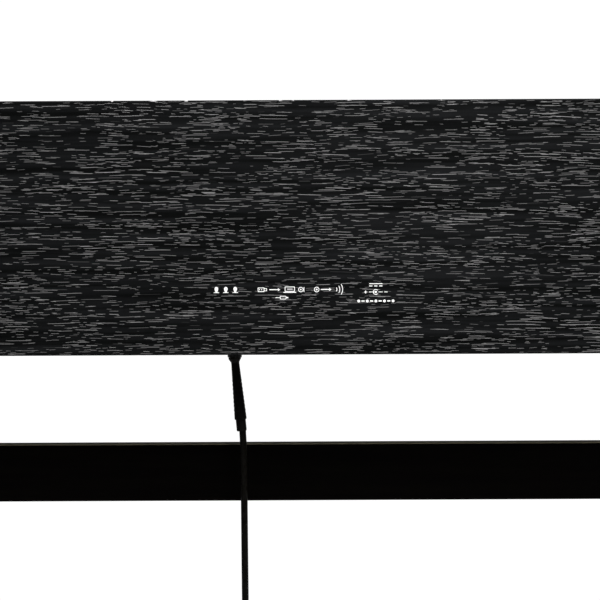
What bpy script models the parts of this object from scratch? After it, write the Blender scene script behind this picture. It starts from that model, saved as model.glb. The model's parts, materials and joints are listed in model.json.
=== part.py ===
"""Digital piano on its stand: 88 keys in a laminated case, on two leg panels, with three pedals.

Metres, +Z up. X runs along the keyboard with the bass at -X, the player sits at -Y,
and the feet stand on z = 0.
Run it with: blender --background --python part.py
"""

import math

import bmesh
import bpy
from mathutils import Matrix, Vector

OBJECT_NAME = "digital_piano"
GAP = 0.0003  # clearance between two pieces that touch
PAST = 0.010  # how far a cutter runs past the piece that it cuts

# Keyboard: 52 naturals and 36 sharps
NATURAL_COUNT = 52
NATURAL_PITCH = 0.0235
KEY_SIDE_GAP = 0.001
KEY_LENGTH = 0.150  # visible length of a natural
KEY_THICKNESS = 0.020
SHARP_WIDTH = 0.0105
SHARP_LENGTH = 0.095  # visible length of a sharp
SHARP_RISE = 0.012  # above the naturals
SHARP_CLEARANCE = 0.00125
SHARP_SHIFTS = {"C": -0.002, "D": 0.002, "F": -0.003, "G": 0.0, "A": 0.003}
NOTE_LETTERS = "ABCDEFG"
SINGLE_OCTAVE = range(23, 30)  # the naturals C4 to B4 move one by one
KEY_TAIL = 0.075  # from the end of the visible key back to its pivot
KEY_UNDERCUT = 0.010  # how far a natural's full section runs under the control panel
HINGE_STRIP_DEPTH = 0.014
HINGE_STRIP_THICKNESS = 0.0045
HINGE_STRIP_STEP = 0.001  # between the naturals' strip and the sharps' strip above it
KEY_RIB_INSET = 0.0006
KEY_RIB_SET = 0.0003
KEY_CAP_OVERLAP = 0.002
SHARP_LAP = 0.001  # how far a sharp runs past the end of the visible keys

# Case
BOARD = 0.015  # back, top and bottom boards
SIDE_BOARD = 0.018  # side panels, key slip and leg panels
CHEEK_WIDTH = 0.041
SLIP_CLEARANCE = 0.0045  # between the key slip and the key fronts
SLIP_DROP = 0.014  # key slip's top, below the key tops
UNDERSIDE = 0.600  # height of the case's underside
KEY_LEVEL = 0.120  # key tops, above the underside
FELT_HEIGHT = 0.004
FELT_LIFT = 0.0006
FELT_SET = 0.0015  # behind the end of the visible keys
FELT_DEPTH = 0.008
FASCIA_LIP = 0.0065  # lower edge of the control panel, above the key tops
FASCIA_RISE = 0.044
FASCIA_RUN = 0.0255
FASCIA_THICKNESS = 0.003
FASCIA_SETBACK = 0.003  # behind the end of the visible keys
RIM = 0.008  # side and back panels stand this far above the top board
ARM_HEIGHT = 0.018  # side panels' arms, above the key tops
EDGE_ROUND = 0.010
REAR_BAY = 0.0665  # room behind the keybed, for the electronics
KEYBED_BACK = 0.009  # room between the keys' hinge strip and the rear bay
DECK_SET = 0.0035  # top board's front edge, behind the control panel's upper edge
SLOPE_SET = 0.004  # where the side panels' slopes end, before the control panel's upper edge
CHEEK_DROP = 0.0025  # cheek blocks' tops, below the control panel's lower edge
CHEEK_REACH = 0.060  # how far the cheek blocks run back under the control panel
BOARD_EDGE = 0.0006  # rounding of the boards' edges
PANEL_EDGE = 0.0008
SIDE_EDGE = 0.001
SLIP_EDGE = 0.002
FOOT_EDGE = 0.0015
BOX_EDGE = 0.0015

# Keybed
CHASSIS_SHEET = 0.0012
CHASSIS_FLOOR = 0.047  # above the bottom board
CHASSIS_LEDGE = 0.030  # front ledge, which stops the keys
CHASSIS_LEDGE_DROP = 0.011  # ledge, below the key undersides
CHASSIS_TAIL_DROP = 0.001
CHASSIS_SET = 0.002  # behind the key fronts
CHASSIS_TAIL = 0.013  # behind the pivot
CONTACT_STRIP = (0.014, 0.022)  # rubber strip: width at its foot, height
CONTACT_STRIP_SET = 0.002  # from the board's ends
CONTACT_BOARD_DEPTH = 0.040
CIRCUIT_BOARD = 0.0016

# Controls on the fascia
BUTTON_RADIUS = 0.005
BUTTON_PROUD = 0.0025
BUTTON_STEM = 0.0055
BUTTON_STEM_RADIUS = 0.002
BUTTON_EDGE = 0.0006
BUTTON_STOP = (0.0015, 0.0012)  # flange under the panel: reach, thickness
BUTTON_CLEARANCE = 0.0003
KNOB_RADIUS = 0.009
KNOB_HEIGHT = 0.011
KNOB_EDGE = 0.0012
SHAFT_RADIUS = 0.003
SHAFT_LENGTH = 0.007  # below the panel's face
PANEL_BORE = 0.012
POWER_X, VOICE_X, VOLUME_X = 0.570, -0.520, -0.570
PANEL_BOARD_SET = 0.009
PANEL_BOARD_HEIGHT = 0.022

# Music rest
REST_WIDTH = 0.700
REST_DEPTH = 0.103
REST_THICKNESS = 0.0046
REST_BARREL = 0.003
REST_PIN = 0.0013
REST_PIN_LENGTH = 0.009
REST_SET = 0.015  # hinge axis, behind the top board's front edge
REST_LIFT = 0.001  # barrel, above the top board
LEDGE_SET = 0.0015  # behind the top board's front edge
LEDGE_DROP = 0.001  # ledge's top, below the rim
LEDGE_DEPTH = 0.008
LUG_WIDTH = 0.006

# Connectors under the back edge
JACK_SET = 0.030  # from the back face
PEDAL_JACK_X, USB_X, LINE_OUT_X, DC_X = 0.0475, 0.0128, -0.0209, -0.0531
PLATE_HALF_WIDTH = 0.085
PLATE_RECESS = 0.003
PLATE_THICKNESS = 0.003
PLATE_DEPTH = 0.035
PLATE_FLANGE = 0.010
PLATE_RIM = 0.002  # thickness of the flange
PLATE_WALL = 0.003
MAIN_BOARD_DEPTH = 0.0555
MAIN_BOARD_SET = 0.0015  # from the back panel
PROCESSOR = (0.024, 0.020, 0.003)
PROCESSOR_SET = 0.040
JACK_BODY = 0.014
JACK_HEIGHT = 0.021
COLLAR_RADIUS = 0.00515
COLLAR_LOW = -0.003  # below the underside
THREAD_RADIUS = 0.004
THREAD_END = 0.001  # above the underside, or above the collar's end
THREAD_LAP = 0.004  # how far a barrel runs into its body
JACK_BORE = 0.0028
JACK_BORE_DEPTH = 0.012
USB_WIDTH = 0.012
USB_MOUTH = (0.0085, 0.0078)
USB_TONGUE = (0.0056, 0.0032)
USB_MOUTH_DEPTH = 0.012
USB_TONGUE_SET = 0.002
MINI_JACK_BORE = 0.0018
DC_BORE = 0.0032
DC_PIN = 0.00105
DC_PIN_SET = 0.002

# Pedal plug and its cord
PLUG_TILT = math.radians(5.3)
PLUG_PIN = 0.0016
PLUG_PIN_LENGTH = 0.009
CORD_DIAMETER = 0.005
CORD_SPACING = 0.0125
CORD_ROUTE = (
    (0.0420, 0.1425, 0.5438),
    (0.0414, 0.1425, 0.5300),
    (0.0411, 0.1425, 0.5000),
    (0.0408, 0.1425, 0.4500),
    (0.0404, 0.1425, 0.3900),
    (0.0401, 0.1426, 0.3300),
    (0.0399, 0.1427, 0.2700),
    (0.0396, 0.1430, 0.2150),
    (0.0392, 0.1433, 0.1650),
    (0.0381, 0.1442, 0.1200),
    (0.0353, 0.1457, 0.0830),
    (0.0302, 0.1479, 0.0575),
    (0.0222, 0.1511, 0.0405),
    (0.0108, 0.1548, 0.0318),
    (-0.0022, 0.1588, 0.0308),
    (-0.0140, 0.1624, 0.0362),
    (-0.0226, 0.1652, 0.0460),
    (-0.0276, 0.1669, 0.0575),
    (-0.0295, 0.1673, 0.0668),
    (-0.0299, 0.1656, 0.0750),
    (-0.0300, 0.1610, 0.0818),
    (-0.0300, 0.1543, 0.0864),
    (-0.0300, 0.1474, 0.0879),
    (-0.0300, 0.1412, 0.0880),
)

# Speakers
SPEAKER_X = 0.480
SPEAKER_SET = 0.108  # behind the key slip's back face
SPEAKER_RADIUS = 0.060
SPEAKER_HEIGHT = 0.040
SPEAKER_FLANGE = (0.008, 0.005)  # width, thickness
MAGNET_HEIGHT = 0.014
MAGNET_RADIUS = 0.024
BASKET_RADIUS = 0.032
SLOT_COUNT = 7
SLOT_LENGTH = 0.090
SLOT_WIDTH = 0.006
SLOT_PITCH = 0.013

# Headphone box
PHONES_X = -0.570
PHONES_SIZE = (0.060, 0.040, 0.020)
PHONES_SET = 0.0215  # behind the front face
PHONES_PITCH = 0.026
PHONES_BORE_DEPTH = 0.015

# Stand
FOOT_WIDTH = 0.038
FOOT_HEIGHT = 0.036
FOOT_TOE = 0.022
FOOT_ARCH = 0.003
FOOT_ARCH_RUN = 0.004
FOOT_PAD = 0.050
FOOT_SLOPE = 0.060
LEG_DEPTH = 0.220
LEG_INSET = 0.025  # from the back face to the legs' back edges
RAIL_THICKNESS = 0.016
RAIL_INSET = 0.045  # from the back face to the rails' back faces
RAIL_DROP = 0.068  # rear rail's top, below the underside
RAIL_HEIGHT = 0.0414
BEAM_BOTTOM = 0.040
BEAM_HEIGHT = 0.110

# Pedals
PEDAL_PITCH = 0.065
PEDAL_AXIS_HEIGHT = 0.070
PEDAL_AXIS_SET = 0.0265  # in front of the pedal beam
PEDAL_LENGTH = 0.190  # tip to axis
PEDAL_TAIL = 0.010
PEDAL_THICKNESS = 0.008
PEDAL_TIP_HALF = 0.013
PEDAL_NECK_HALF = 0.007
PEDAL_PAD_LENGTH = 0.060
PEDAL_PAD_STRAIGHT = 0.020  # from the tip's centre to where the pad starts to narrow
PEDAL_EDGE = 0.001
PEDAL_SLOT_CLEARANCE = 0.002
AXLE_RADIUS = 0.003
AXLE_CLEARANCE = 0.0003
HOUSING_HALF_WIDTH = 0.125
HOUSING_DEPTH = 0.123
HOUSING_TOP = 0.112
HOUSING_WALL = 0.003
HOUSING_RIB = 0.004
RIB_HALF_DEPTH = 0.010
SLOT_SILL = 0.005  # pedal slots' lower edges, above the housing's floor
SLOT_HEAD = 0.006  # their upper edges, above the pedals
RIB_HEIGHT = 0.042
SPRING_RADIUS = 0.0055
SPRING_WIRE = 0.0009
SPRING_TURNS = 4
SPRING_SIDES = 10
SPRING_SET = 0.040  # in front of the axle
GLAND_X, GLAND_HEIGHT = -0.030, 0.088
GLAND_LENGTH = 0.013
GLAND_RADIUS = 0.0065

# Places worked out from the sizes above
KEYS_HALF = NATURAL_COUNT * NATURAL_PITCH / 2
INNER_HALF = KEYS_HALF + CHEEK_WIDTH
BODY_HALF = INNER_HALF + SIDE_BOARD
KEYBED_DEPTH = SLIP_CLEARANCE + KEY_LENGTH + KEY_TAIL + HINGE_STRIP_DEPTH / 2 + KEYBED_BACK
BODY_DEPTH = SIDE_BOARD + KEYBED_DEPTH + REAR_BAY + BOARD
FRONT, BACK = -BODY_DEPTH / 2, BODY_DEPTH / 2
BACK_INNER = BACK - BOARD
SLIP_BACK = FRONT + SIDE_BOARD
KEY_TOP = UNDERSIDE + KEY_LEVEL
KEY_BOTTOM = KEY_TOP - KEY_THICKNESS
KEY_FRONT = SLIP_BACK + SLIP_CLEARANCE
KEY_END = KEY_FRONT + KEY_LENGTH
PIVOT = Vector((0, KEY_END + KEY_TAIL, KEY_BOTTOM))
FLOOR_TOP = UNDERSIDE + BOARD
FASCIA_FOOT = Vector((0, KEY_END + FASCIA_SETBACK, KEY_TOP + FASCIA_LIP))
FASCIA_HEAD = FASCIA_FOOT + Vector((0, FASCIA_RUN, FASCIA_RISE))
FASCIA_MID = (FASCIA_FOOT + FASCIA_HEAD) / 2
FASCIA_TILT = math.atan2(FASCIA_RISE, FASCIA_RUN)
DECK_TOP = FASCIA_HEAD.z
DECK_FRONT = FASCIA_HEAD.y + DECK_SET
BODY_TOP = DECK_TOP + RIM
JACK_Y = BACK - JACK_SET
PLATE_LOW = UNDERSIDE + PLATE_RECESS
PLATE_HIGH = PLATE_LOW + PLATE_THICKNESS
BOARD_LOW = PLATE_HIGH + GAP + JACK_HEIGHT + GAP
RAIL_BACK = BACK - RAIL_INSET
RAIL_FRONT = RAIL_BACK - RAIL_THICKNESS
PEDAL_AXIS = Vector((0, RAIL_FRONT - PEDAL_AXIS_SET, PEDAL_AXIS_HEIGHT))


def srgb(code):
    """Linear RGBA of an sRGB hex colour."""
    parts = [int(code[i : i + 2], 16) / 255 for i in (0, 2, 4)]
    return [c / 12.92 if c <= 0.04045 else ((c + 0.055) / 1.055) ** 2.4 for c in parts] + [1.0]


def finish(name, colour, roughness, metallic=0.0):
    """A Principled material, made once."""
    made = bpy.data.materials.get(name)
    if made:
        return made
    made = bpy.data.materials.new(name)
    made.use_nodes = True
    shader = made.node_tree.nodes["Principled BSDF"]
    shader.inputs["Base Color"].default_value = srgb(colour)
    shader.inputs["Roughness"].default_value = roughness
    shader.inputs["Metallic"].default_value = metallic
    made.diffuse_color = srgb(colour)
    return made


def black_laminate():
    return finish("black grained laminate", "1c1d1d", 0.45)


def dark_rail_laminate():
    return finish("dark brown laminate", "241f1a", 0.5)


def black_plastic():
    return finish("moulded black plastic", "151516", 0.4)


def ivory_plastic():
    return finish("moulded white key plastic", "f2efe6", 0.25)


def ebony_plastic():
    return finish("matte black key plastic", "101011", 0.4)


def steel_sheet():
    return finish("galvanised steel sheet", "9a9da0", 0.4, 1.0)


def polished_brass():
    return finish("polished brass", "c9a557", 0.25, 1.0)


def board_green():
    return finish("circuit board", "1d5a35", 0.5)


def cord_rubber():
    return finish("black cord jacket", "121110", 0.55)


def new_collection(name):
    made = bpy.data.collections.new(name)
    bpy.context.scene.collection.children.link(made)
    return made


def add(name, data, coat, collection="parts"):
    """An object of this mesh or curve, linked to the parts or to the cutters."""
    made = bpy.data.objects.new(name, data)
    COLLECTIONS[collection].objects.link(made)
    if collection == "cutters":
        made.hide_render = True
        made.display_type = "WIRE"
    if coat:
        data.materials.append(coat)
    return made


def mesh_from(name, bm):
    data = bpy.data.meshes.new(name)
    bm.to_mesh(data)
    bm.free()
    return data


def set_origin(piece, point):
    """Moves a mesh object's origin to a point in space, and leaves its shape where it is."""
    point = Vector(point)
    piece.data.transform(Matrix.Translation(-point) @ piece.matrix_basis)
    piece.matrix_basis = Matrix.Translation(point)
    return piece


def block(name, low, high, coat=None, collection="parts", edge=0.0, segments=1):
    """A box between two corners, with its edges beveled where edge is over zero."""
    low, high = Vector(low), Vector(high)
    size = high - low
    bm = bmesh.new()
    bmesh.ops.create_cube(bm, size=1.0)
    bmesh.ops.scale(bm, vec=size, verts=bm.verts)
    piece = add(name, mesh_from(name, bm), coat, collection)
    piece.location = (low + high) / 2
    if edge:
        round_edges(piece, edge, segments)
    return piece


def round_edges(piece, width, segments=1):
    bevel = piece.modifiers.new("rounded edges", "BEVEL")
    bevel.width = width
    bevel.segments = segments
    bevel.limit_method = "ANGLE"
    bevel.angle_limit = math.radians(40)
    bevel.use_clamp_overlap = True


def rod(name, centre, radius, length, along="Z", coat=None, collection="parts", top=None, sides=24):
    """A cylinder, or a cone where top is another radius, centred on a point."""
    bm = bmesh.new()
    bmesh.ops.create_cone(
        bm, cap_ends=True, segments=sides, radius1=radius, radius2=radius if top is None else top,
        depth=length
    )
    turn = {"X": (0, math.pi / 2, 0), "Y": (-math.pi / 2, 0, 0), "Z": (0, 0, 0)}[along]
    piece = add(name, mesh_from(name, bm), coat, collection)
    piece.location = centre
    piece.rotation_euler = turn
    return piece


def plate(name, outlines, low, high, plane="XY", coat=None, collection="parts"):
    """Flat outlines given a thickness: XY outlines rise along Z, and YZ outlines run along X."""
    data = bpy.data.curves.new(name, "CURVE")
    data.dimensions = "2D"
    data.fill_mode = "BOTH"
    data.extrude = (high - low) / 2
    for outline in outlines:
        spline = data.splines.new("POLY")
        spline.points.add(len(outline) - 1)
        spline.use_cyclic_u = True
        for point, (u, v) in zip(spline.points, outline):
            point.co = (u, v, 0, 1)
    piece = add(name, data, coat, collection)
    middle = (low + high) / 2
    if plane == "YZ":
        piece.rotation_euler = (math.pi / 2, 0, math.pi / 2)
        piece.location = (middle, 0, 0)
    else:
        piece.location = (0, 0, middle)
    return solid(piece, collection)


def solid(curve, collection="parts"):
    """A curve object made a mesh object, with its caps welded."""
    bpy.context.view_layer.update()
    seen = curve.evaluated_get(bpy.context.evaluated_depsgraph_get())
    data = bpy.data.meshes.new_from_object(seen)
    bm = bmesh.new()
    bm.from_mesh(data)
    bmesh.ops.remove_doubles(bm, verts=bm.verts, dist=0.00001)
    bm.to_mesh(data)
    bm.free()
    name, place, coats = curve.name, curve.matrix_basis.copy(), list(curve.data.materials)
    bpy.data.objects.remove(curve)
    data.materials.clear()
    piece = add(name, data, coats[0] if coats else None, collection)
    piece.name = name
    piece.matrix_basis = place
    return piece


def turned(name, profile, coat=None, collection="parts", steps=24):
    """A profile of (radius, height) points, from top to bottom, turned about local Z."""
    bm = bmesh.new()
    corners = [bm.verts.new((radius, 0, height)) for radius, height in profile]
    for first, second in zip(corners, corners[1:]):
        bm.edges.new((first, second))
    piece = add(name, mesh_from(name, bm), coat, collection)
    screw = piece.modifiers.new("turned", "SCREW")
    screw.axis = "Z"
    screw.steps = screw.render_steps = steps
    screw.use_merge_vertices = True
    screw.merge_threshold = 0.00001
    screw.use_smooth_shade = True
    return piece


def combine(piece, other, operation):
    boolean = piece.modifiers.new(other.name, "BOOLEAN")
    boolean.operation = operation
    boolean.solver = "EXACT"
    boolean.object = other


def cut(piece, *tools):
    for tool in tools:
        combine(piece, tool, "DIFFERENCE")


def join(piece, *others):
    for other in others:
        combine(piece, other, "UNION")


def tube(name, points, radius, coat, collection="parts", resolution=2):
    """A round wire along a list of points."""
    data = bpy.data.curves.new(name, "CURVE")
    data.dimensions = "3D"
    data.bevel_depth = radius
    data.bevel_resolution = resolution
    data.use_fill_caps = True
    spline = data.splines.new("POLY")
    spline.points.add(len(points) - 1)
    for point, place in zip(spline.points, points):
        point.co = (*place, 1)
    return add(name, data, coat, collection)


def arc(centre, radius, start, end, count=6):
    """Points of an arc, in degrees."""
    angles = [math.radians(start + (end - start) * i / count) for i in range(count + 1)]
    return [(centre[0] + radius * math.cos(a), centre[1] + radius * math.sin(a)) for a in angles]


# Case


def build_boards():
    block("back_panel", (-INNER_HALF + GAP, BACK_INNER, UNDERSIDE), (INNER_HALF - GAP, BACK, BODY_TOP),
          black_laminate(), edge=PANEL_EDGE)
    block("top_board", (-INNER_HALF + GAP, DECK_FRONT, DECK_TOP - BOARD),
          (INNER_HALF - GAP, BACK_INNER - GAP, DECK_TOP), black_laminate(), edge=BOARD_EDGE)
    bottom = block("bottom_board", (-INNER_HALF + GAP, SLIP_BACK + GAP, UNDERSIDE),
                   (INNER_HALF - GAP, BACK_INNER - GAP, FLOOR_TOP), black_laminate())
    cut(bottom, block("jack_notch", (-PLATE_HALF_WIDTH, BACK_INNER - PLATE_DEPTH, UNDERSIDE - PAST),
                      (PLATE_HALF_WIDTH, BACK, FLOOR_TOP + PAST), collection="cutters"))
    middle = SLIP_BACK + SPEAKER_SET
    for side, x in (("left", -SPEAKER_X), ("right", SPEAKER_X)):
        for i in range(SLOT_COUNT):
            y = middle + (i - (SLOT_COUNT - 1) / 2) * SLOT_PITCH
            cut(bottom, block(f"sound_slot_{side}_{i}",
                              (x - SLOT_LENGTH / 2, y - SLOT_WIDTH / 2, UNDERSIDE - PAST),
                              (x + SLOT_LENGTH / 2, y + SLOT_WIDTH / 2, FLOOR_TOP + PAST),
                              collection="cutters"))


def build_sides():
    arm = KEY_TOP + ARM_HEIGHT
    outline = [(FRONT, UNDERSIDE)]
    outline += arc((FRONT + EDGE_ROUND, arm - EDGE_ROUND), EDGE_ROUND, 180, 90)
    outline += [(KEY_END, arm), (FASCIA_HEAD.y - SLOPE_SET, BODY_TOP), (BACK, BODY_TOP), (BACK, UNDERSIDE)]
    cheek_top, cheek_back = KEY_TOP + FASCIA_LIP - CHEEK_DROP, KEY_END + CHEEK_REACH
    cheek = [(SLIP_BACK + GAP, FLOOR_TOP + GAP), (SLIP_BACK + GAP, cheek_top), (cheek_back, cheek_top),
             (cheek_back, FLOOR_TOP + GAP)]
    for side, sign in (("left", -1), ("right", 1)):
        low, high = sorted((sign * INNER_HALF, sign * BODY_HALF))
        panel = plate(f"side_panel_{side}", [outline[::-1]], low, high, "YZ", black_laminate())
        round_edges(panel, SIDE_EDGE)
        low, high = sorted((sign * (KEYS_HALF + 2 * GAP), sign * (INNER_HALF - GAP)))
        cheek_block = plate(f"cheek_block_{side}", [cheek[::-1]], low, high, "YZ", black_plastic())
        round_edges(cheek_block, SIDE_EDGE)
    block("key_slip", (-INNER_HALF + GAP, FRONT, UNDERSIDE),
          (INNER_HALF - GAP, SLIP_BACK, KEY_TOP - SLIP_DROP), black_laminate(), edge=SLIP_EDGE, segments=2)


def folded_sheet(name, path, half_length, thickness, coat):
    """A sheet bent along a path of (y, z) points, running along X, thick to the path's right."""
    bm = bmesh.new()
    rows = [[bm.verts.new((x, y, z)) for y, z in path] for x in (-half_length, half_length)]
    for i in range(len(path) - 1):
        bm.faces.new((rows[0][i], rows[0][i + 1], rows[1][i + 1], rows[1][i]))
    piece = add(name, mesh_from(name, bm), coat)
    shell = piece.modifiers.new("sheet", "SOLIDIFY")
    shell.thickness = thickness
    shell.offset = 1
    shell.use_even_offset = True
    return piece


def build_fascia():
    """Sloping control panel, its circuit board, and the buttons and knob that stand on it."""
    path = [(FASCIA_FOOT.y, FASCIA_FOOT.z), (FASCIA_HEAD.y, FASCIA_HEAD.z),
            (DECK_FRONT - GAP, FASCIA_HEAD.z)]
    fascia = folded_sheet("control_panel", path, INNER_HALF - GAP, FASCIA_THICKNESS, black_plastic())
    seat = bpy.data.objects.new("fascia_seat", None)
    COLLECTIONS["parts"].objects.link(seat)
    seat.location = FASCIA_MID
    seat.rotation_euler = (FASCIA_TILT, 0, 0)
    hole = BUTTON_RADIUS + BUTTON_CLEARANCE
    for name, x in (("power_button", POWER_X), ("voice_button", VOICE_X)):
        stop = -FASCIA_THICKNESS - GAP
        flange, under = BUTTON_RADIUS + BUTTON_STOP[0], stop - BUTTON_STOP[1]
        profile = [(0, BUTTON_PROUD), (BUTTON_RADIUS - BUTTON_EDGE, BUTTON_PROUD),
                   (BUTTON_RADIUS, BUTTON_PROUD - BUTTON_EDGE), (BUTTON_RADIUS, stop), (flange, stop),
                   (flange, under), (BUTTON_STEM_RADIUS, under), (BUTTON_STEM_RADIUS, -BUTTON_STEM),
                   (0, -BUTTON_STEM)]
        button = turned(name, profile, black_plastic())
        button.location = (x, 0, 0)
        button.parent = seat
        cut(fascia, seated_hole(f"{name}_hole", x, hole, seat))
    profile = [(0, KNOB_HEIGHT), (KNOB_RADIUS - KNOB_EDGE, KNOB_HEIGHT),
               (KNOB_RADIUS, KNOB_HEIGHT - KNOB_EDGE), (KNOB_RADIUS, 2 * GAP), (SHAFT_RADIUS, 2 * GAP),
               (SHAFT_RADIUS, -SHAFT_LENGTH), (0, -SHAFT_LENGTH)]
    knob = turned("volume_knob", profile, black_plastic())
    knob.location = (VOLUME_X, 0, 0)
    knob.parent = seat
    cut(fascia, seated_hole("volume_hole", VOLUME_X, SHAFT_RADIUS + BUTTON_CLEARANCE, seat))
    board = block("panel_board", (-KEYS_HALF, -PANEL_BOARD_HEIGHT / 2, -PANEL_BOARD_SET - CIRCUIT_BOARD),
                  (KEYS_HALF, PANEL_BOARD_HEIGHT / 2, -PANEL_BOARD_SET), board_green())
    board.parent = seat


def seated_hole(name, x, radius, seat):
    tool = rod(name, (x, 0, 0), radius, PANEL_BORE, collection="cutters")
    tool.parent = seat
    return tool


def build_music_rest():
    """Fold-flat desk, hinged on two pins behind a ledge that stops the sheets from sliding."""
    axis = Vector((0, DECK_FRONT + REST_SET, DECK_TOP + REST_LIFT + REST_BARREL))
    half = REST_WIDTH / 2
    rest = block("music_rest", (-half, axis.y, axis.z - REST_THICKNESS / 2),
                 (half, axis.y + REST_DEPTH, axis.z + REST_THICKNESS / 2), black_plastic())
    set_origin(rest, axis)
    join(rest, rod("rest_barrel", axis, REST_BARREL, REST_WIDTH, "X", collection="cutters", sides=16))
    ledge_low = DECK_TOP + GAP
    ledge_high = DECK_TOP + RIM - LEDGE_DROP
    ledge_front = DECK_FRONT + LEDGE_SET
    ledge = block("music_ledge", (-half - GAP - LUG_WIDTH, ledge_front, ledge_low),
                  (half + GAP + LUG_WIDTH, ledge_front + LEDGE_DEPTH, ledge_high), black_plastic())
    for side, sign in (("left", -1), ("right", 1)):
        near, far = sign * (half + GAP), sign * (half + GAP + LUG_WIDTH)
        lug = block(f"rest_lug_{side}", (min(near, far), DECK_FRONT + LEDGE_DEPTH, ledge_low),
                    (max(near, far), axis.y + REST_BARREL + REST_LIFT, ledge_high), collection="cutters")
        pin_middle = sign * (half + GAP + LUG_WIDTH / 2 - REST_PIN_LENGTH / 2)
        pin = rod(f"rest_pin_{side}", (pin_middle, axis.y, axis.z), REST_PIN,
                  REST_PIN_LENGTH + LUG_WIDTH / 2, "X", collection="cutters", sides=12)
        bore = rod(f"rest_bore_{side}", (sign * half, axis.y, axis.z), REST_PIN + GAP, 2 * REST_PIN_LENGTH,
                   "X", collection="cutters", sides=12)
        join(ledge, lug, pin)
        cut(rest, bore)


# Keyboard


def sharp_centre(index):
    """Centre of the sharp above natural number index, or None where there is none."""
    letter = NOTE_LETTERS[index % 7]
    if letter not in SHARP_SHIFTS or not 0 <= index < NATURAL_COUNT - 1:
        return None
    return -KEYS_HALF + (index + 1) * NATURAL_PITCH + SHARP_SHIFTS[letter]


def natural_sides(index):
    """Left and right sides of a natural's head, then of its neck."""
    left = -KEYS_HALF + index * NATURAL_PITCH + KEY_SIDE_GAP / 2
    right = left + NATURAL_PITCH - KEY_SIDE_GAP
    half_slot = SHARP_WIDTH / 2 + SHARP_CLEARANCE
    below, above = sharp_centre(index - 1), sharp_centre(index)
    neck_left = left if below is None else below + half_slot
    neck_right = right if above is None else above - half_slot
    return left, right, neck_left, neck_right


def natural_cap(index):
    """Outline of a natural's head and neck."""
    left, right, neck_left, neck_right = natural_sides(index)
    shoulder = KEY_END - SHARP_LENGTH - SHARP_CLEARANCE
    end = KEY_END + KEY_UNDERCUT
    outline = [(left, KEY_FRONT), (right, KEY_FRONT)]
    if neck_right < right:
        outline += [(right, shoulder), (neck_right, shoulder)]
    outline += [(neck_right, end), (neck_left, end)]
    if neck_left > left:
        outline += [(neck_left, shoulder), (left, shoulder)]
    return outline


def key_body(name, ribs, strip, front, low, caps, cap_low, cap_high, coat):
    """A hinge strip, the ribs that reach forward from it and the full keys on the ribs, as one moulding."""
    high = low + HINGE_STRIP_THICKNESS
    strip_front, strip_back = PIVOT.y - HINGE_STRIP_DEPTH / 2, PIVOT.y + HINGE_STRIP_DEPTH / 2
    body = block(name, (strip[0], strip_front, low), (strip[1], strip_back, high), coat)
    set_origin(body, PIVOT)
    bars = [[(left, front), (right, front), (right, PIVOT.y), (left, PIVOT.y)] for left, right in ribs]
    join(body, plate(f"{name}_ribs", bars, low + KEY_RIB_SET, high - KEY_RIB_SET, collection="cutters"))
    join(body, plate(f"{name}_caps", caps, cap_low, cap_high, collection="cutters"))


def build_naturals(name, indexes):
    ribs = [(natural_sides(i)[2] + KEY_RIB_INSET, natural_sides(i)[3] - KEY_RIB_INSET) for i in indexes]
    strip = (natural_sides(indexes[0])[0], natural_sides(indexes[-1])[1])
    key_body(name, ribs, strip, KEY_FRONT + KEY_RIB_INSET, KEY_BOTTOM, [natural_cap(i) for i in indexes],
             KEY_BOTTOM + KEY_CAP_OVERLAP, KEY_TOP, ivory_plastic())


def build_sharps(name, indexes):
    low = KEY_BOTTOM + HINGE_STRIP_THICKNESS + HINGE_STRIP_STEP
    half, rib = SHARP_WIDTH / 2, SHARP_WIDTH / 2 - 2 * KEY_RIB_INSET
    centres = [sharp_centre(i) for i in indexes]
    caps = [[(x - half, KEY_END - SHARP_LENGTH), (x + half, KEY_END - SHARP_LENGTH),
             (x + half, KEY_END + SHARP_LAP), (x - half, KEY_END + SHARP_LAP)] for x in centres]
    ribs = [(x - rib, x + rib) for x in centres]
    strip = (centres[0] - rib - KEY_RIB_INSET, centres[-1] + rib + KEY_RIB_INSET)
    key_body(name, ribs, strip, KEY_END - SHARP_LENGTH / 2, low, caps,
             low - KEY_CAP_OVERLAP, KEY_TOP + SHARP_RISE, ebony_plastic())


def build_keys():
    """One octave of single keys, and the rest of the keyboard as four mouldings on the same pivot line."""
    first, last = SINGLE_OCTAVE[0], SINGLE_OCTAVE[-1]
    build_naturals("naturals_bass", range(0, first))
    build_naturals("naturals_treble", range(last + 1, NATURAL_COUNT))
    build_sharps("sharps_bass", [i for i in range(0, first) if sharp_centre(i) is not None])
    build_sharps("sharps_treble", [i for i in range(last + 1, NATURAL_COUNT) if sharp_centre(i) is not None])
    for i in SINGLE_OCTAVE:
        letter = NOTE_LETTERS[i % 7].lower()
        build_naturals(f"key_{letter}", [i])
        if sharp_centre(i) is not None:
            build_sharps(f"key_{letter}_sharp", [i])


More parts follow.
